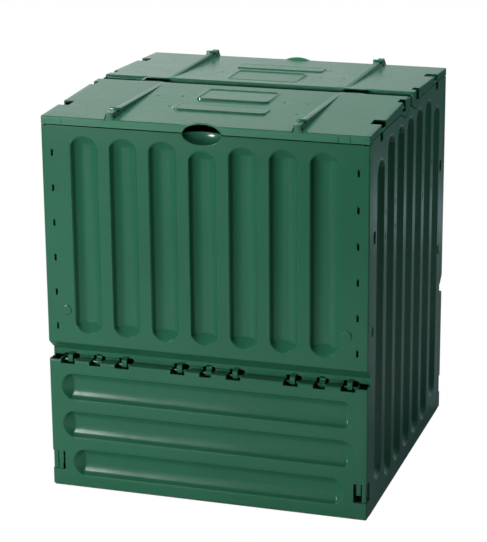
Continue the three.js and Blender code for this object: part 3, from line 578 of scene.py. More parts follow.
def flapShell():
    top, foot = size["flapTop"], flaps["foot"]
    path = filletPath(
        [(flaps["topLip"], top), (flaps["bevelDepth"], top), (0, flaps["bevelFoot"]), (0, foot),
         (flaps["footLip"], foot)],
        [1.0, 1.2, flaps["edgeRound"]],
    )
    run = lengths(path)
    faceStart, faceZ = run[10], path[10][1]
    faceEnd = run[11]

    def vOf(z):
        return faceStart + faceZ - z

    catchX, catchLow, catchHigh = flaps["catch"]
    marksU = [*bothSigns((flaps["lipHalf"], cornerStart, cornerEnd, catchX)), *notchEdges()]
    zonesU = bothZones(*flaps["gridX"], cornerZone)
    us = gridLines(-planEnd, planEnd, 12.0, zonesU, marksU)
    reach = troughs["halfWidth"] + troughs["gridEdge"]
    zonesV = zonesDown(vOf, [*((z + reach, z - reach, 1.9) for z, _ in flaps["rows"]), *flaps["gridZ"]])
    notchFoot = top - hinge["notchDrop"]
    marksV = [*run[1:], vOf(catchHigh), vOf(catchLow), vOf(notchFoot)]
    vs = gridLines(0, run[-1], 9.0, zonesV, marksV)
    u, v = np.meshgrid(us, vs, indexing="ij")
    away = np.abs(centred(u))
    middleV = centred(v)
    onLip = (middleV < run[1]) | (middleV > faceEnd)
    keep = ~(onLip & (away > flaps["lipHalf"]))
    keep &= ~(inNotches(centred(u)) & (middleV < vOf(notchFoot)))

    def catches(a, b):
        return boxHole(np.abs(a), b, catchX + 60, vOf((catchLow + catchHigh) / 2), 60,
                       (catchHigh - catchLow) / 2, 3.0)

    u, v, keep = cutHoles(u, v, keep, catches)
    z = np.interp(v, run, path[:, 1])
    inset = np.interp(v, run, path[:, 0])
    x, y, nx, ny = planLine(u, np.where(v <= faceStart, inset, 0))
    depth = np.where(v > faceEnd, inset, 0)
    for middle, halfLength in flaps["rows"]:
        depth += np.where(between(v, faceStart, faceEnd), troughDepth(z - middle, u, 2 * halfLength), 0)
    # The foot of the part that turns back along the side is cut straight, level with the face.
    beyond = np.abs(u) > cornerStart + 0.01
    z = np.where(beyond & (v > faceEnd), foot, z)
    depth = np.where(beyond, 0, depth)
    points = np.stack([x + nx * depth, y + ny * depth, z], axis=-1)
    return thicken(*patch(points, keep), wall)


def flapFittings():
    # Pins across the notches, with a small gusset at each of their ends.
    y, z = hinge["axisY"], hinge["axisZ"]
    back = -half + flaps["topLip"]
    for x, notch, *_ in clipPlaces():
        yield barX(hinge["pin"], (x - notch / 2 - 2, x + notch / 2 + 2), y, z)
        for side in (-1, 1):
            edge = x + side * notch / 2
            gusset = [(-half + 2, 304), (-half + 2, 326), (-half + 4.5, 328), (back, 328), (back, z - 3.5)]
            yield prism(gusset, (edge, edge + side * wall), alongX, 0.4, 0.8, 2)


sides = {
    "plateHalf": 372.6,
    "step": 395.6,
    "lap": 395.6,
    "flangeEnd": 336.0,
    "lowerFlangeEnd": 376.0,
    "flangeTop": 905.0,
    # The relief for the flap's ends cuts away what lies beyond this Y between two heights.
    "reliefY": 368.6,
    "relief": (314.0, 380.0),
    "footLip": 24.0,
    "troughFoot": (36.0, 65.0),
    "troughTop": (893.0, 857.0),
    "notchY": 292.0,
    "notchHalf": 13.0,
    "notchFoot": 900.0,
    "vCentre": 52.0,
    "vHalf": 50.0,
    "vDepth": 18.0,
    "gripY": 350.0,
    "gripZ": 686.0,
    "gripHalf": (10.0, 15.0),
    "ventY": [146.75, 244.6],
    "ventZ": [721.0, 660.0],
    "ventHalf": (3.0, 6.5),
    "warpFrom": 897.0,
    # Windows behind the slots: half height, and how far they lie lower than the slots.
    "window": (7.0, 2.0),
    # The opening behind one of the catches.
    "catchX": 381.0,
    "catchZ": (43.0, 90.0),
    # Grid zones over the troughs' ends and that opening.
    "gridZ": [(895.0, 826.0, 3.3), (98.0, 34.0, 3.3), (92.0, 87.0, 1.0), (46.0, 41.0, 1.0)],
    # Catches: X of the tongues, X where the front and the rear bar start and where both end, feet of the
    # front tongue, of the rear tongue and of the bars, and the top of all.
    "catchTongue": (372.0, 383.5),
    "catchBar": (388.0, 386.2, 397.7),
    "catchFeet": (58.5, 57.0, 45.0),
    "catchTop": 90.6,
    # Lugs in the slots: half width, and foot and top over the slot's middle.
    "lug": (2.35, 5.0, 8.6),
    # Stop under the ridge beam, in X, Y and Z.
    "stop": ((372.0, 398.0), (-14.6, 14.6), (902.9, 912.9)),
}

# Round heads: of the studs low on both edges of the upper walls, and the same ones moulded on the sides.
studs = {"x": 349.0, "sideY": 350.0, "z": 459.0, "head": (12.5, 2.4)}


def vOutline(y):
    # How far the two V-shaped notches of the top edge drop at this place.
    away = np.abs(np.abs(y) - sides["vCentre"])
    return sides["vDepth"] * np.clip(1 - away / sides["vHalf"], 0, 1)


def sideShell():
    step, lap, plate = sides["step"], sides["lap"], sides["plateHalf"]
    outer = [(sides["flangeEnd"], -lap), (step, -lap), (step, -plate), (half, -plate)]
    mirrored = [(x, -y) for x, y in reversed(outer)]
    path = filletPath([*outer, *mirrored], [2.0, 0.6, 1.2, 1.2, 0.6, 2.0])
    run = lengths(path)
    middle = (run[0] + run[-1]) / 2
    run = run - middle
    foot = filletPath([(0, size["sideTop"]), (0, 0), (sides["footLip"], 0)], [1.6])
    drop = lengths(foot)
    footStart = drop[1]

    def vOf(z):
        return size["sideTop"] - z

    gripU, gripV = sides["gripHalf"]
    ventU, ventV = sides["ventHalf"]
    edges = [value for value in run if abs(value) > 360]
    notchY, vCentre, gripY = sides["notchY"], sides["vCentre"], sides["gripY"]
    marksU = [*edges, *bothSigns((
        sides["reliefY"], notchY - sides["notchHalf"], notchY + sides["notchHalf"],
        vCentre, vCentre - sides["vHalf"], vCentre + sides["vHalf"]))]
    plateEdge = run[-1] - (step - sides["flangeEnd"]) - (lap - plate) - (half - step)
    windowU = run[-1] - upper["slotX"] + sides["flangeEnd"]
    catchU = -(run[-1] - sides["catchX"] + sides["flangeEnd"])
    zonesU = [*troughZones(3.1), *around([catchU], 9, 1.5), *bothZones(
        *around([gripY - gripU + 1, gripY + gripU - 1], 2.5, 0.9), *around(sides["ventY"], ventU + 1, 0.9),
        *around([windowU], 4, 1.3))]
    us = gridLines(run[0], run[-1], 9.0, zonesU, marksU)
    warp = vOf(sides["warpFrom"])
    reliefLow, reliefHigh = sides["relief"]
    marksV = [warp, vOf(sides["notchFoot"]), vOf(sides["flangeTop"]), vOf(reliefLow), vOf(reliefHigh),
              *drop[1:]]
    footLow, footHigh = sides["troughFoot"]
    topHigh, topLow = sides["troughTop"]
    windowHalf, windowDrop = sides["window"]
    catchLow, catchHigh = sides["catchZ"]
    openingEnds = [vOf(z + side * (deep - 1)) for side in (-1, 1)
                   for z, deep in ((sides["gripZ"], gripV), *((z, ventV) for z in sides["ventZ"]))]
    windowEnds = [vOf(z - windowDrop + side * windowHalf) for z in upper["slotZ"] for side in (-1, 1)]
    zonesV = [*zonesDown(vOf, sides["gridZ"]), *around(openingEnds, 2.5, 0.9), *around(windowEnds, 1, 1.0)]
    vs = gridLines(0, drop[-1], 16.0, zonesV, marksV)
    u, v = np.meshgrid(us, vs, indexing="ij")
    away = np.abs(centred(u))
    height = size["sideTop"] - centred(v)
    beyond = away > plateEdge
    keep = ~(beyond & (height > sides["flangeTop"]))
    keep &= ~(beyond & (centred(v) > footStart))
    keep &= ~((away > sides["reliefY"]) & between(height, reliefLow, reliefHigh))
    flangeAt = np.abs(np.interp(centred(u), run, path[:, 0]))
    keep &= ~((away > plateEdge + 6) & (flangeAt < sides["lowerFlangeEnd"]) & (height < reliefLow))
    keep &= ~((np.abs(away - sides["notchY"]) < sides["notchHalf"]) & (height > sides["notchFoot"]))

    def openings(signed, b):
        # Grips, vents and windows are on both sides of the middle, the opening of the catch on one.
        a = np.abs(signed)
        found = [boxHole(a, b, gripY, vOf(sides["gripZ"]), gripU, gripV, 2.0)]
        found += [boxHole(a, b, y, vOf(z), ventU, ventV, 1.5) for y in sides["ventY"] for z in sides["ventZ"]]
        found += [boxHole(a, b, windowU, vOf(z - windowDrop), 3.0, windowHalf, 1.0) for z in upper["slotZ"]]
        catchV = vOf((catchLow + catchHigh) / 2)
        found.append(boxHole(signed, b, catchU, catchV, 7.0, (catchHigh - catchLow) / 2, 1.5))
        return np.minimum.reduce(found)

    u, v, keep = cutHoles(u, v, keep, openings)
    x = np.interp(u, run, path[:, 0])
    y = np.interp(u, run, path[:, 1])
    z = np.interp(v, drop, foot[:, 1])
    inset = np.interp(v, drop, foot[:, 0])
    share = np.clip((z - sides["warpFrom"]) / (size["sideTop"] - sides["warpFrom"]), 0, 1)
    z = z - share * vOutline(y)
    depth = np.zeros(u.shape)
    level = size["sideTop"] - v
    for centre in troughCentres():
        isOuter = centre in (troughCentres()[0], troughCentres()[-1])
        low, high = (footHigh, topLow) if isOuter else (footLow, topHigh)
        depth += np.where(v < footStart, troughDepth(u - centre, level - (low + high) / 2, high - low), 0)
    points = np.stack([x - depth - inset, y, z], axis=-1)
    return thicken(*patch(points, keep), wall)


def sideFittings():
    lap = sides["lap"]
    slotX = upper["slotX"]
    lugHalf, lugFoot, lugTop = sides["lug"]
    frontBar, rearBar, barEnd = sides["catchBar"]
    frontFoot, rearFoot, barFoot = sides["catchFeet"]
    for end in (-1, 1):
        def across(low, high):
            # Two places as far behind or beyond the lapped face as given, at this end.
            return sorted([end * (lap + low), end * (lap + high)])

        def onSide(a, b, t):
            return np.stack([half + t, a + end * studs["sideY"], b + studs["z"]], axis=-1)

        for z in upper["slotZ"]:
            span = (slotX - lugHalf, slotX + lugHalf)
            yield block(span, across(-2, 0.8), (z + lugFoot, z + lugTop), 0.5)
        # The tongue of one catch stands level with the flap, the other's lies behind it.
        sunk, foot, start = (7.0, frontFoot, frontBar) if end < 0 else (0.0, rearFoot, rearBar)
        yield block(sides["catchTongue"], across(-4 - sunk, 3 - sunk), (foot, sides["catchTop"]), 0.8)
        yield block((start, barEnd), across(-10, 3), (barFoot, sides["catchTop"]), 0.8)
        yield dome(*studs["head"], onSide)
    yield block(*sides["stop"], 0.8)


beam = {
    "reach": 395.0,
    "half": 19.0,
    "low": 897.3,
    "high": 917.3,
    # Posts under the lids: half width and half depth, with arms of this half length and thickness
    # that carry the rings.
    "postHalf": (12.0, 7.0),
    "arm": (28.0, 5.0),
    "ring": (140.0, 400.0),
}


def beamParts():
    low, high, edge = beam["low"], beam["high"], beam["half"]
    inner, roof = edge - wall, high - wall
    channel = [(-edge, low), (-inner, low), (-inner, roof), (inner, roof), (inner, low), (edge, low),
               (edge, high), (-edge, high)]
    yield prism(channel, (-beam["reach"], beam["reach"]), alongX, 0.7, 0.9)
    axisY, axisZ = lids["axis"]
    bore = lids["pin"] + hinge["gap"]
    armTop = axisZ - bore - 2.2
    postX, postY = beam["postHalf"]
    armY, armDeep = beam["arm"]
    for x in bothSigns([lids["hingeX"]]):
        span = (x - postX, x + postX)
        yield block(span, (-postY, postY), (high - 2, armTop))
        yield block(span, (-armY, armY), (armTop - armDeep, armTop))
        for end in (-1, 1):
            ring = arcOutline(bore, bore + hinge["clipWall"], *beam["ring"], -end * axisY, axisZ, 20)
            yield prism(ring, span, alongX, 0.5, 0.4, 2)


lids = {
    "edge": -22.0,
    # The side skirts' foot is higher behind this Y than at the corner.
    "skirtFoot": 915.4,
    "sideFoot": 921.6,
    "cornerY": -372.6,
    "flange": 14.0,
    "round": 2.2,
    "axis": (-28.0, 937.0),
    "pin": 4.0,
    "hingeX": 258.0,
    "notchHalf": 30.0,
    "notchRoof": 2.8,
    "eaveNotch": (372.0, -293.0, -253.0, 925.4),
    "ridgeNotch": (386.0, -86.0, -56.0, 919.8),
    "ribX": 228.0,
    "ribTop": 952.0,
    "ribHalf": 8.0,
    "knobY": -356.0,
    "skirtGap": 1.8,
    # Raised plates: place, half size, corner, how high their edges towards the eave and the ridge are,
    # and how far the middle lies under a bead along the edges.
    "plates": [
        {"y": -118.0, "half": (91.0, 56.0), "round": 14.0, "rise": (4.8, 0.8), "tray": 2.2},
        {"y": -249.0, "half": (114.0, 27.0), "round": 12.0, "rise": (4.0, 2.8), "tray": 0.4},
    ],
    "bead": 4.5,
    "ridgeCut": 6.0,
    "tongue": (-24.0, -7.5, 912.9, 921.0, 944.0),
    "dimples": [(-131.5, -151.0), (-131.0, -249.0), (-190.0, -160.0), (128.0, -155.0), (187.0, -153.0),
                (187.0, -251.0)],
    "dimple": (4.5, 1.0),
    # Width and drop of the small step down to the rim along the front edge.
    "rim": (3.5, 1.3),
    # Split lines down the front skirt: places, and half widths at the face and at the depth.
    "seams": [-348.0, 326.0, 354.0],
    "seam": (1.2, 0.5),
    "seamDepth": 1.3,
    # Ribs: Y where the blade starts, of the column's back, where the blade runs out, and of the front.
    "rib": (-396.0, -385.0, -45.0, -399.8),
    # Knobs on the ribs: radius, half length and how soft their ends are.
    "knob": (4.8, 12.0, 1.4),
    # Hooks of the side skirts in the eaves' notches, in X, Y and Z.
    "hook": ((391.2, 395.2), (-301.0, -283.0), (903.0, 935.0)),
}


def lidPlane(y):
    return size["eave"] + (y + half) * (size["ridge"] - size["eave"]) / (lids["edge"] + half)


def lidRise(x, y):
    # Height over the sloping top: the hood over the recess, the raised plates and the dimples.
    hood = recess["hood"]
    squared = 1 - (x / (recess["halfWidth"] + hood)) ** 2 - ((y + half) / (recess["depth"] + hood)) ** 2
    bump = size["wallTop"] + (recess["halfHeight"] + hood) * np.sqrt(np.maximum(squared, 0)) - lidPlane(y)
    blend = recess["blend"]
    near = np.maximum(blend - np.abs(bump), 0) / blend
    rise = np.maximum(bump, 0) + near ** 2 * blend / 4
    for plate in lids["plates"]:
        away = boxHole(x, y, 0, plate["y"], *plate["half"], plate["round"])
        share = np.clip((y - plate["y"]) / plate["half"][1] / 2 + 0.5, 0, 1)
        level = plate["rise"][0] + share * (plate["rise"][1] - plate["rise"][0])
        rise = rise + level * np.clip(0.5 - away / 1.2, 0, 1)
        rise = rise - plate["tray"] * np.clip(0.5 - (away + lids["bead"]) / 1.2, 0, 1)
    width, depth = lids["dimple"]
    for dimpleX, dimpleY in lids["dimples"]:
        away = np.hypot(x - dimpleX, y - dimpleY)
        rise = rise - depth * np.clip(1 - (away / width) ** 2, 0, 1)
    rimWidth, rimDrop = lids["rim"]
    besideHood = np.clip((np.abs(x) - recess["halfWidth"] - hood) / 4, 0, 1)
    rise = rise - rimDrop * besideHood * np.clip((rimWidth - y - half) / 0.8, 0, 1)
    # The edge towards the ridge is cut off at 45 degrees, except over the hinges.
    besideHinge = np.abs(np.abs(x) - lids["hingeX"]) > lids["notchHalf"] + 0.5
    return rise - np.maximum(y - lids["edge"] + lids["ridgeCut"], 0) * besideHinge


def sideDrop(y):
    # The foot of the lid's side skirt.
    foot = np.where(y < lids["cornerY"], lids["skirtFoot"] + lids["skirtGap"], lids["sideFoot"])
    return foot - np.where(y > lids["cornerY"], vOutline(y), 0)


def lidShell():
    radius = lids["round"]
    soft = np.linspace(0, radius, 4)
    notchX, notchLow, notchHigh, notchSill = lids["eaveNotch"]
    ridgeX, ridgeLow, ridgeHigh, ridgeSill = lids["ridgeNotch"]
    hingeX, notchHalf, edge = lids["hingeX"], lids["notchHalf"], lids["edge"]
    marksX = bothSigns((*(half - soft), notchX, ridgeX, hingeX - notchHalf, hingeX + notchHalf))
    marksX += list(recessMarks)
    seamHalf, seamFloor = lids["seam"]
    for seam in lids["seams"]:
        marksX += [seam - seamHalf, seam - seamFloor, seam + seamFloor, seam + seamHalf]
    # Fine over the hood.
    zonesX = [(-54, 54, 2.2)]
    zonesY = [(-half, -362, 2.2)]
    # Fine from just outside the plates' edges to just inside their beads.
    for plate in lids["plates"]:
        halfX, halfY = plate["half"]
        zonesX += bothZones((halfX - 13, halfX + 1.5, 1.0))
        zonesY += [(plate["y"] + low, plate["y"] + high, step)
                   for low, high, step in bothZones((halfY - 13, halfY + 1.5, 1.0))]
    width = lids["dimple"][0]
    zonesX += around([x for x, _ in lids["dimples"]], width, 1.6)
    zonesY += around([y for _, y in lids["dimples"]], width, 1.6)
    xs = gridLines(-half, half, 12.0, zonesX, marksX)
    rimBack = -half + lids["rim"][0]
    cornerY = lids["cornerY"]
    marksY = [*(-half + soft), *(edge - soft), edge - lids["ridgeCut"], notchLow, notchHigh, ridgeLow,
              ridgeHigh, rimBack, rimBack - 0.8, cornerY - 0.5, cornerY + 0.5,
              -sides["vCentre"] - sides["vHalf"], -sides["vCentre"]]
    ys = gridLines(-half, edge, 12.0, zonesY, marksY)[::-1]

    def place(x, y, below):
        # A point at a depth under the top, with the outer edges rounded.
        core = np.stack([
            np.clip(x, -half + radius, half - radius),
            np.clip(y, -half + radius, edge - radius),
            np.maximum(below, radius),
        ], axis=-1)
        away = np.stack([x, y, below], axis=-1) - core
        far = np.maximum(np.linalg.norm(away, axis=-1, keepdims=True), 1e-9)
        spot = core + away * np.minimum(radius / far, 1)
        x, y, below = spot[..., 0], spot[..., 1], spot[..., 2]
        return np.stack([x, y, lidPlane(y) + lidRise(x, y) - below], axis=-1)

    patches = []
    x, y = np.meshgrid(xs, ys, indexing="ij")
    midX, midY = np.abs(centred(x)), centred(y)
    keep = ~((midX > notchX) & between(midY, notchLow, notchHigh))
    keep &= ~((midX > ridgeX) & between(midY, ridgeLow, ridgeHigh))
    patches.append(patch(place(x, y, np.zeros(x.shape)), keep))

    rows = np.concatenate([soft, radius + np.linspace(0, 1, 7)[1:]])

    x, row = np.meshgrid(xs, rows, indexing="ij")
    arch = size["wallTop"] + recess["halfHeight"] * np.sqrt(np.maximum(1 - (x / recess["halfWidth"]) ** 2, 0))
    low = np.maximum(arch, lids["skirtFoot"] + lids["skirtGap"])
    front = -half * np.ones(x.shape)
    deep = lidPlane(front) + lidRise(x, front) - low
    # Rows within the rounded edge stay as they are, the others share what is left down to the foot.
    skirt = place(x, front, np.where(row <= radius, row, radius + (row - radius) * (deep - radius)))
    away = np.min([np.abs(x - seam) for seam in lids["seams"]], axis=0)
    groove = np.clip((seamHalf - away) / (seamHalf - seamFloor), 0, 1)
    skirt[..., 1] += groove * np.where(row > radius, lids["seamDepth"], 0)
    patches.append(patch(skirt))

    ridgeRows = np.concatenate([soft, [lids["notchRoof"], 8.0, lids["flange"]]])
    x, row = np.meshgrid(xs, ridgeRows, indexing="ij")
    keep = np.abs(np.abs(centred(x)) - hingeX) > notchHalf
    keep |= centred(row) < lids["notchRoof"]
    keep &= np.abs(centred(x)) < half - wall
    ridge = place(x, edge * np.ones(x.shape), row)
    points, quads = patch(ridge, keep)
    patches.append((points, quads[:, ::-1]))

    for side in (-1, 1):
        y, row = np.meshgrid(ys, rows, indexing="ij")
        top = lidPlane(y) + lidRise(side * half * np.ones(y.shape), y)
        foot = sideDrop(y)
        middle = np.where(between(y, ridgeLow - 0.5, ridgeHigh + 0.5), ridgeSill, notchSill)
        low = row - radius
        below = np.where(
            row <= radius, row,
            np.where(low <= 0.5, radius + low * 2 * (top - middle - radius),
                     (top - middle) + (low * 2 - 1) * (middle - foot)))
        inNotch = between(centred(y), notchLow, notchHigh) | between(centred(y), ridgeLow, ridgeHigh)
        keep = ~(inNotch & (centred(row) < radius + 0.5))
        points, quads = patch(place(side * half * np.ones(y.shape), y, below), keep)
        patches.append((points, quads[:, ::-1] if side > 0 else quads))
    return thicken(*weld(patches), wall)


def lidFittings():
    edge = lids["edge"]
    axisY, axisZ = lids["axis"]
    ribTop = lids["ribTop"]
    base = size["eave"]
    start, back, runOut, front = lids["rib"]
    ribHalf = lids["ribHalf"]
    knobRadius, knobHalf, knobSoft = lids["knob"]
    hookX, hookY, hookZ = lids["hook"]
    low, high, lowFoot, highFoot, tongueTop = lids["tongue"]
    tongue = [(low, lowFoot), (high, highFoot), (high, tongueTop), (low, tongueTop)]
    for side in (-1, 1):
        x = side * lids["ribX"]
        blade = [(start, lidPlane(start) - 2), (start, ribTop - 0.1), (back, ribTop - 0.1),
                 (runOut, lidPlane(runOut) + 0.1), (runOut, lidPlane(runOut) - 2)]
        yield prism(blade, (x - ribHalf + 0.1, x + ribHalf - 0.1), alongX, 1.4, 1.2)
        # The column at the front flares out where it stands on the lid's edge.
        flare = [(ribHalf + 6, -4), (ribHalf + 4.6, -1.4), (ribHalf + 2.2, 0.8), (ribHalf + 0.7, 3.4),
                 (ribHalf, 7)]
        outline = [(x + a, base + b) for a, b in flare] + [(x + ribHalf, ribTop), (x - ribHalf, ribTop)]
        outline += [(x - a, base + b) for a, b in reversed(flare)]
        yield prism(outline, (front, back), alongY, 1.3, 1.4)
        yield barX(knobRadius, (x - knobHalf, x + knobHalf), lids["knobY"], ribTop, knobSoft)
        yield block([side * end for end in hookX], hookY, hookZ)
        yield prism(tongue, (side * (half - wall), side * half), alongX, 0.7, 0.8)
        hingeX = side * lids["hingeX"]
        yield barX(lids["pin"], (hingeX - 32, hingeX + 32), axisY, axisZ)
        for end in (-1, 1):
            x = hingeX + end * lids["notchHalf"]
            gusset = [(edge - 2, lidPlane(edge) - 7), (edge - 2, 931), (axisY - 4, 931),
                      (edge - 24, lidPlane(edge - 24) - 4), (edge - 24, lidPlane(edge - 24) - 2)]
            yield prism(gusset, (x, x + end * wall), alongX, 0.4, 0.6, 2)


def studParts():
    def outward(a, b, t):
        return np.stack([a, -t, b], axis=-1)

    shank = turned([(4.6, -12.5), (5.3, -11.0), (5.0, -8.8), (5.0, 0.0)], outward, 24)
    return [dome(*studs["head"], outward), shank]


plastic = {
    "colour": (0.0255, 0.140, 0.0780),
    "deep": (0.0225, 0.126, 0.0695),
    "worn": (0.050, 0.170, 0.110),
    # Painted light: the lighter colour of the lid's upright front, standing in for the light that face
    # catches.
    "litFront": (0.048, 0.190, 0.113),
    "roughness": 0.205,
    "grain": 0.05,
    "ripple": 0.07,
    "ior": 1.49,
    # Specular level: of most faces, of the lower walls towards the recess, and of the lid's sides.
    "shine": 0.5,
    "duller": 0.22,
    "lidSides": 0.12,
    # How far from the middle, in metres, the lid's upright faces begin.
    "lidFaces": (0.3985, 0.3995),
}


def newMaterial(name):
    material = bpy.data.materials.new(name)
    material.use_nodes = True
    return material, material.node_tree, material.node_tree.nodes["Principled BSDF"]


def connect(tree, value, socket):
    # Links a socket to another node's output, or sets it to a number, a vector or a colour.
    if isinstance(value, bpy.types.NodeSocket):
        tree.links.new(value, socket)
    else:
        socket.default_value = (*value, 1.0) if socket.type == "RGBA" else value


def addNode(tree, kind, inputs=None, **settings):
    node = tree.nodes.new("ShaderNode" + kind)
    for key, value in settings.items():
        setattr(node, key, value)
    for key, value in (inputs or {}).items():
        connect(tree, value, node.inputs[key])
    return node


def mathNode(tree, operation, *values):
    return addNode(tree, "Math", dict(enumerate(values)), operation=operation).outputs["Value"]


def splitNode(tree, kind):
    # The three parts of a kind of coordinates.
    coords = addNode(tree, "TexCoord").outputs[kind]
    return addNode(tree, "SeparateXYZ", {"Vector": coords}).outputs


def noiseNode(tree, coords, scale, detail, stretch=(1, 1, 1)):
    placed = addNode(tree, "Mapping", {"Vector": coords, "Scale": stretch}).outputs["Vector"]
    return addNode(tree, "TexNoise", {"Vector": placed, "Scale": scale, "Detail": detail}).outputs["Fac"]


def rampNode(tree, value, low, high, start=0.0, end=1.0):
    inputs = {"Value": value, "From Min": low, "From Max": high, "To Min": start, "To Max": end}
    return addNode(tree, "MapRange", inputs).outputs["Result"]


def mixColour(tree, factor, first, second):
    # Inputs 6 and 7 and output 2 are the ones for colours.
    return addNode(tree, "Mix", {"Factor": factor, 6: first, 7: second}, data_type="RGBA").outputs[2]


def makePlastic(name, use="plain"):
    material, tree, shader = newMaterial(name)
    coords = addNode(tree, "TexCoord").outputs["Object"]
    x, y, z = splitNode(tree, "Object")
    # Slow clouds of colour and long upright flow marks from the mould.
    clouds = noiseNode(tree, coords, 3.2, 3.0)
    flow = noiseNode(tree, coords, 9.0, 4.0, (1.0, 1.0, 0.18))
    scuffs = noiseNode(tree, coords, 60.0, 6.0, (1.0, 1.0, 0.35))
    grain = noiseNode(tree, coords, 1400.0, 2.0)
    base = mixColour(tree, rampNode(tree, clouds, 0.3, 0.7), plastic["colour"], plastic["deep"])
    colour = mixColour(tree, rampNode(tree, scuffs, 0.60, 0.78, 0.0, 0.14), base, plastic["worn"])
    shine = plastic["shine"]
    if use == "lid":
        # The lid's upright front is painted lighter, as painted light for the light that face catches, and
        # its upright sides are dull.
        fromMiddle, fromSide = (mathNode(tree, "ABSOLUTE", axis) for axis in (y, x))
        front = rampNode(tree, fromMiddle, *plastic["lidFaces"])
        colour = mixColour(tree, front, colour, plastic["litFront"])
        shine = rampNode(tree, fromSide, *plastic["lidFaces"], shine, plastic["lidSides"])
    elif use == "wall":
        # Below the bowl of the recess the walls shine less, least of all where they face up.
        facingUp = splitNode(tree, "Normal")["Z"]
        lower = mathNode(tree, "MULTIPLY", rampNode(tree, facingUp, 0.10, 0.32, 1.0, 0.05),
                         rampNode(tree, z, 0.42, 0.84, shine, plastic["duller"]))
        shine = mathNode(tree, "MAXIMUM", lower, rampNode(tree, z, 0.85, 0.89, 0.0, shine))
    smooth = plastic["roughness"]
    roughness = mathNode(tree, "ADD", rampNode(tree, flow, 0.3, 0.7, -0.02, 0.03),
                         rampNode(tree, scuffs, 0.45, 0.75, smooth, smooth + 0.05))
    ripple = addNode(tree, "Bump", {"Strength": plastic["ripple"], "Distance": 0.002, "Height": flow})
    fine = addNode(tree, "Bump", {"Strength": plastic["grain"], "Distance": 0.0003, "Height": grain,
                                  "Normal": ripple.outputs["Normal"]})
    values = {"Base Color": colour, "Specular IOR Level": shine, "Roughness": roughness,
              "IOR": plastic["ior"], "Normal": fine.outputs["Normal"]}
    for key, value in values.items():
        connect(tree, value, shader.inputs[key])
    return material


green = makePlastic("greenPlastic")
lidGreen = makePlastic("lidPlastic", "lid")
wallGreen = makePlastic("wallPlastic", "wall")


def plasticOf(node):
    if node in ("front_wall", "rear_wall"):
        return wallGreen
    return lidGreen if node.endswith("_lid") else green


for name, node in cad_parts.items():
    node.data.materials.clear()
    node.data.materials.append(plasticOf(name))
print("materials made")


def dropUnused(corners, faces):
    # Leaves out the corners that no face has.
    isUsed = np.zeros(len(corners), bool)
    isUsed[[corner for face in faces for corner in face]] = True
    renumber = (np.cumsum(isUsed) - 1).tolist()
    return corners[isUsed], [[renumber[corner] for corner in face] for face in faces]


def addObject(name, data):
    thing = bpy.data.objects.new(name, data)
    bpy.context.scene.collection.objects.link(thing)
    return thing


# Edges sharper than this, in degrees, aren't smoothed over.
sharpAngle = 32.0


def addPiece(name, body, node, parts, isTurned=False, at=(0.0, 0.0, 0.0)):
    # One mesh from closed shells in millimetres, turned half round for the rear and the left.
    corners = []
    faces = []
    count = 0
    for points, quads, *caps in parts:
        corners.append(points)
        faces += (quads + count).tolist()
        if caps:
            faces += [[corner + count for corner in cap] for cap in caps[0]]
        count += len(points)
    corners = np.concatenate(corners)
    if isTurned:
        corners = corners * np.array([-1.0, -1.0, 1.0])
    used, faces = dropUnused((corners + np.array(at)) / 1000, faces)
    mesh = bpy.data.meshes.new(name)
    mesh.from_pydata(used.tolist(), [], faces)
    mesh.validate()
    mesh.shade_smooth()
    mesh.set_sharp_from_angle(angle=math.radians(sharpAngle))
    mesh.materials.append(plasticOf(node))
    piece = addObject(name, mesh)
    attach(piece, body)
    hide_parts(node)
    print(name, len(used), "corners,", sum(len(face) - 2 for face in faces), "triangles")


for end, isTurned in (("front", False), ("rear", True)):
    wallNode, flapNode, lidNode = (end + kind for kind in ("_wall", "_flap", "_lid"))
    addPiece(end + "WallShell", "bin", wallNode, [upperShell()], isTurned)
    addPiece(end + "WallClips", "bin", wallNode, stripClips(), isTurned)
    addPiece(end + "FlapShell", flapNode + "_body", flapNode, [flapShell()], isTurned)
    addPiece(end + "FlapPins", flapNode + "_body", flapNode, flapFittings(), isTurned)
    addPiece(end + "LidShell", lidNode + "_body", lidNode, [lidShell()], isTurned)
    addPiece(end + "LidRibs", lidNode + "_body", lidNode, lidFittings(), isTurned)
for side, isTurned in (("right", False), ("left", True)):
    node = "side_wall_" + side
    addPiece(side + "WallShell", "bin", node, [sideShell()], isTurned)
    addPiece(side + "WallLugs", "bin", node, sideFittings(), isTurned)
addPiece("ridgeBeam", "bin", "ridge_beam", beamParts())
for end, y in (("front", -half), ("rear", half)):
    for side, x in (("left", -studs["x"]), ("right", studs["x"])):
        node = "lock_stud_" + end + "_" + side
        place = (x, y, studs["z"])
        addPiece("stud" + end.title() + side.title(), "bin", node, studParts(), end == "rear", place)


# How pale the floor is to everything but the camera, as painted shade and light: places from front to back,
# each with its albedo. It paints the floor's shadow just behind the bin and a pool of light further back,
# which show in the plastic's sheen.
ground = {
    "reach": 8.0,
    "inside": 0.398,
    "paintedShades": [(-2.7, 0.01), (-0.9, 0.42), (-0.45, 0.42), (0.1, 0.24), (1.0, 0.24), (1.8, 0.30),
               (2.3, 1.0), (2.8, 0.60), (3.2, 0.40)],
    # Tint of the places behind the middle: painted bluish light, for the bluish sheen that they give the
    # plastic.
    "tint": (0.80, 0.95, 1.0),
}
white = (1.0, 1.0, 1.0)


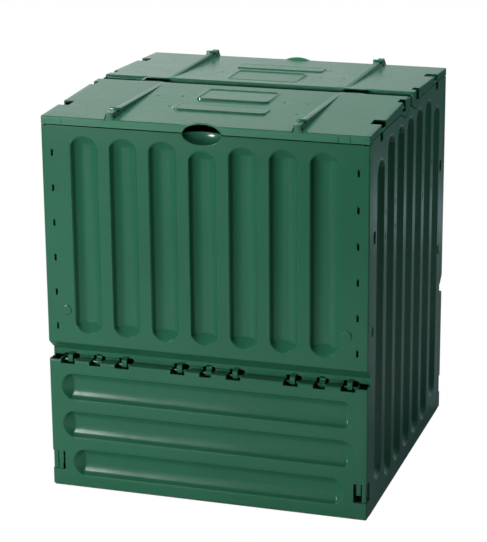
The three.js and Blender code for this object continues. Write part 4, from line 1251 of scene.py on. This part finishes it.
def addStage():
    # A floor with painted shade and light in its albedo, white to the camera round the bin and dark inside
    # it.
    reach = ground["reach"]
    mesh = bpy.data.meshes.new("floor")
    corners = [(-reach, -reach, 0), (reach, -reach, 0), (reach, reach, 0), (-reach, reach, 0)]
    mesh.from_pydata(corners, [], [(0, 1, 2, 3)])
    floor = addObject("floor", mesh)
    material, tree, shader = newMaterial("paleFloor")
    x, y, _ = splitNode(tree, "Object")
    # Painted shade and light: the albedo runs along Y through the floor's stops.
    paintedShades = addNode(tree, "ValToRGB", {"Fac": rampNode(tree, y, -reach, reach)})
    stops = paintedShades.color_ramp.elements
    while len(stops) < len(ground["paintedShades"]):
        stops.new(1.0)
    for stop, (place, shade) in zip(stops, ground["paintedShades"]):
        tint = ground["tint"] if place > 0 else white
        stop.position = (place + reach) / (2 * reach)
        stop.color = (*(shade * part for part in tint), 1.0)
    values = {"Roughness": 1.0, "Specular IOR Level": 0.0, "Base Color": paintedShades.outputs["Color"]}
    for key, value in values.items():
        connect(tree, value, shader.inputs[key])
    beyond = [mathNode(tree, "GREATER_THAN", mathNode(tree, "ABSOLUTE", axis), ground["inside"])
              for axis in (x, y)]
    outside = mathNode(tree, "MAXIMUM", *beyond)
    shown = mathNode(tree, "MULTIPLY", addNode(tree, "LightPath").outputs["Is Camera Ray"], outside)
    glow = addNode(tree, "Emission", {"Color": white, "Strength": 1.0}).outputs["Emission"]
    mix = addNode(tree, "MixShader", {"Fac": shown, 1: shader.outputs["BSDF"], 2: glow})
    connect(tree, mix.outputs["Shader"], tree.nodes["Material Output"].inputs["Surface"])
    mesh.materials.append(material)


addStage()

# "seen" lights show in the sheen of the plastic only, the others light it without a reflection.
lights = {
    "broad": {"at": (-1.10, -2.72, 0.70), "aim": (0.0, -0.4, 0.5), "size": (1.2, 1.3), "power": 57.0},
    "soft": {"at": (-1.45, -1.75, 2.55), "aim": (-0.2, -0.4, 0.3), "size": (0.8, 0.9), "power": 6.0},
    "sheen": {"at": (-1.96, -2.18, 1.98), "aim": (-0.1, -0.4, 0.5), "size": (0.70, 0.6), "power": 120.0,
              "seen": True},
    "above": {"at": (-0.4, 0.4, 3.2), "aim": (0.0, 0.1, 0.9), "size": (2.2, 1.4), "power": 66.0},
    "right": {"at": (1.6, 0.3, 2.2), "aim": (0.4, 0.0, 0.6), "size": (1.0, 1.0), "power": 12.0,
              "colour": (0.85, 0.97, 1.2)},
}
# The backdrop behind the bin, seen only in the sheen of the plastic, and a weak fill from all round.
world = {"fill": 0.05, "backdrop": 0.85, "tint": (0.97, 1.0, 1.0), "left": 0.95, "right": 0.52}


def addLight(name, values):
    data = bpy.data.lights.new(name, "AREA")
    data.shape = "RECTANGLE"
    data.size, data.size_y = values["size"]
    data.energy = values["power"]
    data.color = values.get("colour", white)
    lamp = addObject(name, data)
    lamp.location = values["at"]
    lamp.rotation_euler = (Vector(values["aim"]) - Vector(values["at"])).to_track_quat("-Z", "Y").to_euler()
    lamp.visible_glossy = values.get("seen", False)
    lamp.visible_diffuse = not lamp.visible_glossy
    lamp.visible_camera = False


for name, values in lights.items():
    addLight(name, values)


def addWorld():
    studio = bpy.data.worlds.new("studio")
    bpy.context.scene.world = studio
    studio.use_nodes = True
    tree = studio.node_tree
    tree.nodes.clear()
    x, y, z = splitNode(tree, "Generated")
    behind = rampNode(tree, y, 0.1, 0.8, 0.0, world["backdrop"])
    low = rampNode(tree, z, 0.75, 0.35)
    band = mathNode(tree, "MULTIPLY", low, rampNode(tree, x, -0.38, -0.20, world["left"], world["right"]))
    strength = mathNode(tree, "MULTIPLY_ADD", behind, band, world["fill"])
    fill = addNode(tree, "Background", {"Color": world["tint"], "Strength": strength})
    seen = addNode(tree, "Background", {"Color": white, "Strength": 1.0})
    mix = addNode(tree, "MixShader", {"Fac": addNode(tree, "LightPath").outputs["Is Camera Ray"],
                                      1: fill.outputs["Background"], 2: seen.outputs["Background"]})
    addNode(tree, "OutputWorld", {"Surface": mix.outputs["Shader"]})


addWorld()
print("floor,", len(lights), "lights and world made")

view = {
    "azimuth": 17.71,
    "elevation": 17.12,
    "roll": -0.47,
    "distance": 5.412,
    "offset": (-0.0312, 0.448),
    # Focal length and height of the photo in pixels, and the sensor in millimetres.
    "focal": 2077.0,
    "height": 542.0,
    "sensor": 36.0,
}


def addCamera():
    # The photo's camera: it looks back along the line set by azimuth and elevation, turned by the
    # roll and moved sideways and up by the offset.
    azimuth, elevation, roll = (math.radians(view[key]) for key in ("azimuth", "elevation", "roll"))
    level = math.cos(elevation)
    back = Vector((math.sin(azimuth) * level, -math.cos(azimuth) * level, math.sin(elevation)))
    right = Vector((math.cos(azimuth), math.sin(azimuth), 0.0))
    up = back.cross(right)
    across = right * math.cos(roll) + up * math.sin(roll)
    above = up * math.cos(roll) - right * math.sin(roll)
    sideways, upwards = view["offset"]
    data = bpy.data.cameras.new("camera")
    data.lens = view["focal"] / view["height"] * view["sensor"]
    data.sensor_width = view["sensor"]
    camera = addObject("camera", data)
    turn = Matrix((across, above, back)).transposed().to_4x4()
    at = back * view["distance"] + across * sideways + above * upwards
    camera.matrix_world = Matrix.Translation(at) @ turn
    bpy.context.scene.camera = camera


addCamera()
bpy.context.scene.view_settings.view_transform = "Standard"
print("camera placed")
